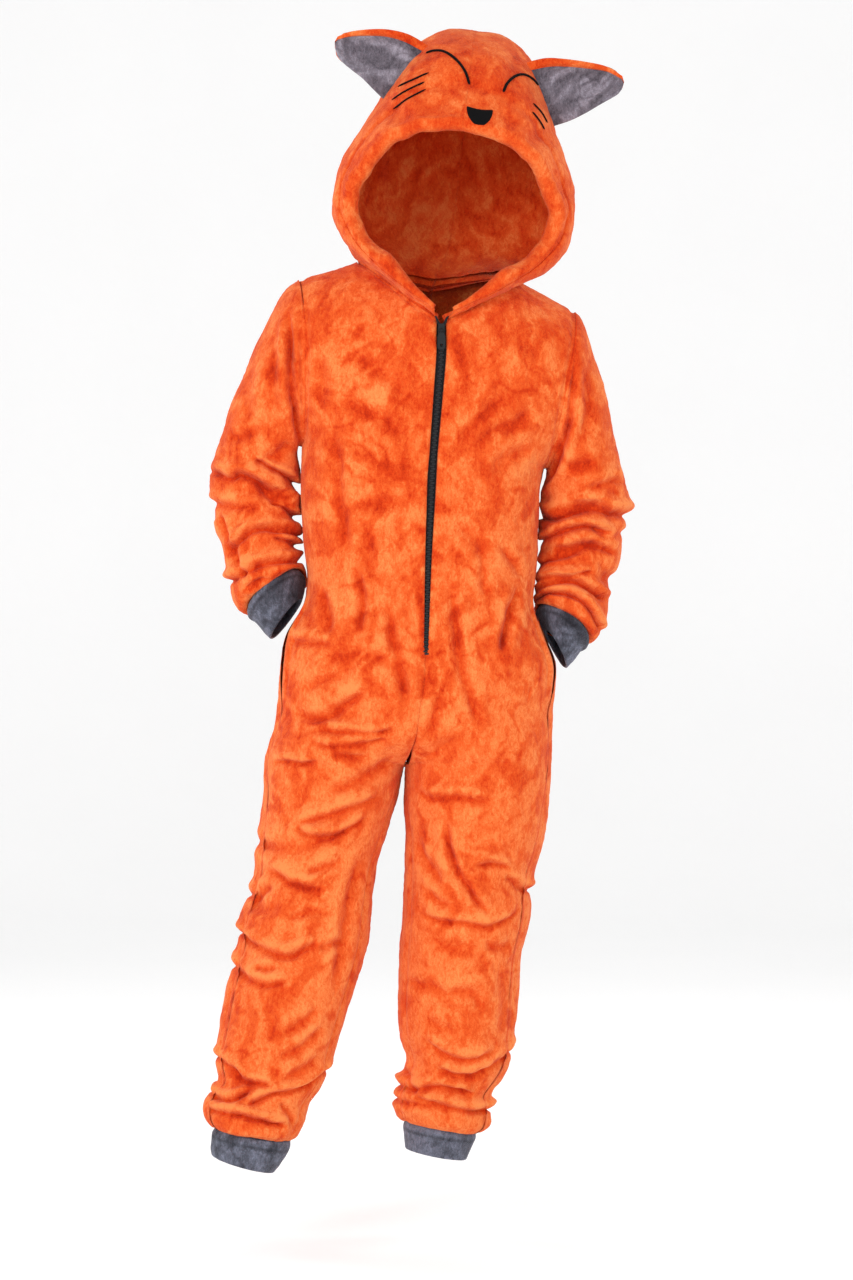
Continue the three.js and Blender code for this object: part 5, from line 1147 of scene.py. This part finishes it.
# nose: a rounded U of satin stitch
u, w = np.linspace(0, 1, 37), np.linspace(0, 1, 27)
pts = np.empty((len(w), len(u), 3))
for i, b in enumerate(w):
    half = (NOSE_HALF + 1.4) * (1 - 0.72 * b ** 2.6)
    if b > 0.94:
        half *= math.sqrt(max(0.0, 1 - ((b - 0.94) / 0.07) ** 2))
    for j, a in enumerate(u):
        x = NOSE_X + NOSE_LEAN * b + (2 * a - 1) * half
        z = mix(NOSE_TOP + 1.5 - 2 * math.sin(math.pi * a), NOSE_BOTTOM - 1, b)
        edge = min(j, len(u) - 1 - j, i, len(w) - 1 - i) / 3.2
        pts[i, j] = hood_point(x, z, -0.9 + 2.4 * float(smooth(edge)))[0]
for _ in range(3):
    pts[1:-1, 1:-1] = 0.5 * pts[1:-1, 1:-1] + 0.125 * (pts[2:, 1:-1] + pts[:-2, 1:-1] + pts[1:-1, 2:] + pts[1:-1, :-2])
# ribs of thread across it
pts[2:-2, 1:-1, 1] -= 0.16 * (np.arange(2, len(w) - 2) % 2)[:, None]
make("stitched_nose", pts, replaces=["nose"], mat=THREAD, pile=False)

# ------------------------------------------------------------------ zip
def zip_at(x, z, depth):
    """Points of the front beside its middle: x off the middle line, height z, depth along the normal (out is positive)."""
    side = "right" if x < 0 else "left"
    p, n = ZIPROWS[side]
    zz = p[0][:, 2]
    order = np.argsort(zz)
    col = np.abs(x)
    out = []
    for c in range(3):
        out.append(np.interp(z, zz[order], p[0][order, c]))
    base = np.array(out).T
    nor = np.stack([np.interp(z, zz[order], n[0][order, c]) for c in range(3)], -1)
    acr = np.stack([np.interp(z, zz[order], (p[1] - p[0])[order, c]) for c in range(3)], -1)
    acr = unit(acr)
    return base + acr * col + unit(nor) * depth


ZIPROWS = {}
for side, sign in SIDES:
    v = warp_v(300, 1.0, 18.0)
    pz = np.moveaxis(cubic(body_stations(side, True, np.array([0.0, 0.05, 0.1])), v), 0, 1)
    nz = grid_normals(pz)
    if nz[0][:, 1].mean() > 0:
        nz = -nz
    ZIPROWS[side] = (pz, nz)

zs = np.linspace(ZIP_TOP, ZIP_END - 6, int(200 * FINE))
# tape: one strip each side, woven, in the slot between the fronts
for side, sign in SIDES:
    cols = [0.1, 2.6, 5, 9, 13.5]
    grid = np.stack([zip_at(sign * c, zs, -2.3 if c < 3 else -3.4) for c in cols], 0)
    make("zip_tape_strip_" + side, grid, replaces=["zip_tape_" + side], mat=TAPE, pile=False)


# the tape's upper end on each side, turned out above the slider
for side, sign in SIDES:
    t = np.linspace(0, 4, 22)
    way = cubic(np.array([(1.6, -6.0), (3.6, -2.0), (5.4, 1.4), (7.4, 4.6), (8.4, 6.6)]), t)
    half = np.interp(t, np.arange(5), (1.4, 1.7, 1.6, 1.2, 0.4))
    step = unit(np.gradient(way, axis=0))
    curl = []
    for a in np.arange(10) / 10 * 2 * math.pi:
        x = way[:, 0] + step[:, 1] * half * math.cos(a)
        z = way[:, 1] - step[:, 0] * half * math.cos(a)
        curl.append([zip_at(sign * x[i], np.array([ZIP_TOP + z[i]]), 1.2 + 0.9 * math.sin(a))[0] for i in range(len(t))])
    make("zip_tape_end_" + side, np.array(curl), ring=True, mat=TAPE, pile=False)


def boxes(name, centres, axes, sizes, mat, replaces=(), body="garment", bevel=0.25):
    """Many small bevelled blocks as one mesh: centres (n,3), axes (n,3,3), half sizes (3) in mm."""
    tpl, faces = [], []
    h = np.array(sizes)
    for sx in (-1, 1):
        for sy in (-1, 1):
            for sz in (-1, 1):
                tpl.append((sx, sy, sz))
    tpl = np.array(tpl, float)
    quads = np.array([[0, 1, 3, 2], [4, 6, 7, 5], [0, 4, 5, 1], [2, 3, 7, 6], [0, 2, 6, 4], [1, 5, 7, 3]])
    verts = centres[:, None, :] + np.einsum("kj,njc->nkc", tpl * h, axes)
    idx = (np.arange(len(centres))[:, None, None] * 8 + quads[None]).reshape(-1, 4)
    me = bpy.data.meshes.new(name)
    me.from_pydata((verts.reshape(-1, 3) * MM).tolist(), [], idx.tolist())
    me.update()
    obj = place(name, me, replaces, mat, body)
    mod = obj.modifiers.new("soft", "BEVEL")
    mod.width, mod.segments = bevel * MM, 1
    return obj


pitch = 2.6
tz = np.arange(ZIP_TOP - 2, ZIP_END, -pitch)
centres, axes = [], []
for i, z in enumerate(tz):
    off = 0.62 if i % 2 else -0.62
    c = zip_at(np.float64(0.01), np.array([z]), -0.95)[0]
    up = unit(zip_at(np.float64(0.01), np.array([z + 3]), -0.95)[0] - c)
    nor = unit(zip_at(np.float64(0.01), np.array([z]), 1.0)[0] - c)
    acr = unit(np.cross(up, nor))
    nor = np.cross(acr, up)
    centres.append(c + acr * off)
    axes.append([acr, nor, up])
boxes("zip_teeth", np.array(centres), np.array(axes), (2.25, 0.85, 1.02), TEETH, ["zip_chain"])

# slider and pull keep their solids' forms
for node in ("zip_slider", "zip_pull"):
    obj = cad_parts[node]
    obj.data.materials.clear()
    obj.data.materials.append(ENAMEL)

# ------------------------------------------------------------------ pocket bags
def sides_of(key):
    return [(f"{key}_{side}", side) for side, _ in SIDES]


for node, side in sides_of("pocket_bag"):
    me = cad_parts[node].data.copy()
    me.materials.clear()
    obj = place("cloth_" + node, me, [node], ORANGE)
    me.polygons.foreach_set("use_smooth", np.ones(len(me.polygons), bool))
    sub = obj.modifiers.new("soft", "SUBSURF")
    sub.levels = sub.render_levels = 2

# ------------------------------------------------------------------ floor, light, camera
FLOOR_Z = -1.066
me = bpy.data.meshes.new("floor")
n_arc, back_y, r, top = 24, 4.3, 1.0, 3.6
prof = [(-6.0, 0.0)] + [(back_y + r * math.sin(t), r - r * math.cos(t)) for t in np.linspace(0, math.pi / 2, n_arc)] + [(back_y + r, top)]
verts, faces = [], []
for x in (-7.0, 7.0):
    verts += [(x, y, FLOOR_Z + z) for y, z in prof]
k = len(prof)
for i in range(k - 1):
    faces.append((i, k + i, k + i + 1, i + 1))
me.from_pydata(verts, [], faces)
me.polygons.foreach_set("use_smooth", np.ones(len(faces), bool))
floor = bpy.data.objects.new("floor", me)
bpy.context.scene.collection.objects.link(floor)
fm, fnt, fb = nodes_of("floor_white")
fcol = ramp(fnt, texnoise(fnt, add(fnt, "ShaderNodeTexCoord").outputs["Object"], 3), [(0.0, (0.90, 0.90, 0.90)), (1.0, (0.93, 0.93, 0.93))])
fnt.links.new(fcol, fb.inputs["Base Color"])
fb.inputs["Roughness"].default_value = 0.9
fb.inputs["Specular IOR Level"].default_value = 0.1
fb.inputs["Emission Color"].default_value = (1, 1, 1, 1)
fb.inputs["Emission Strength"].default_value = 0.11
me.materials.append(fm)

world = bpy.context.scene.world or bpy.data.worlds.new("world")
bpy.context.scene.world = world
world.use_nodes = True
bg = world.node_tree.nodes["Background"]
bg.inputs["Color"].default_value = (1.0, 1.0, 1.0, 1)
bg.inputs["Strength"].default_value = 0.80


def area_light(name, loc, target, size, power, colour=(1, 1, 1)):
    d = bpy.data.lights.new(name, "AREA")
    d.shape, d.size, d.energy, d.color = "SQUARE", size, power, colour
    o = bpy.data.objects.new(name, d)
    o.location = loc
    o.rotation_euler = (Vector(target) - Vector(loc)).to_track_quat("-Z", "Y").to_euler()
    bpy.context.scene.collection.objects.link(o)
    return o


area_light("key", (-1.9, -2.9, 0.7), (0, 0, -0.75), 1.3, 41)
area_light("fill", (2.4, -2.6, 0.5), (0, 0, -0.4), 1.8, 14)
area_light("front", (0.1, -4.4, 0.1), (0, 0, -0.6), 1.0, 13)
area_light("rim_left", (-1.9, 1.3, 0.7), (0, 0, -0.3), 1.0, 14)
area_light("rim_right", (1.9, 1.3, 0.7), (0, 0, -0.3), 1.0, 14)

cam = bpy.data.cameras.new("camera")
cam.sensor_fit = "VERTICAL"
cam.sensor_height = 24.0
cam.lens = 24.0 / 2 / (1.436 / 2 / 4.0)
cam.dof.use_dof = False
cam.clip_end = 50
camera = bpy.data.objects.new("camera", cam)
camera.location = (-0.0151, -4.0, -0.3983)
camera.rotation_euler = (math.pi / 2, 0, 0)
bpy.context.scene.collection.objects.link(camera)
bpy.context.scene.camera = camera
bpy.context.scene.view_settings.view_transform = "Standard"
bpy.context.scene.view_settings.look = "None"
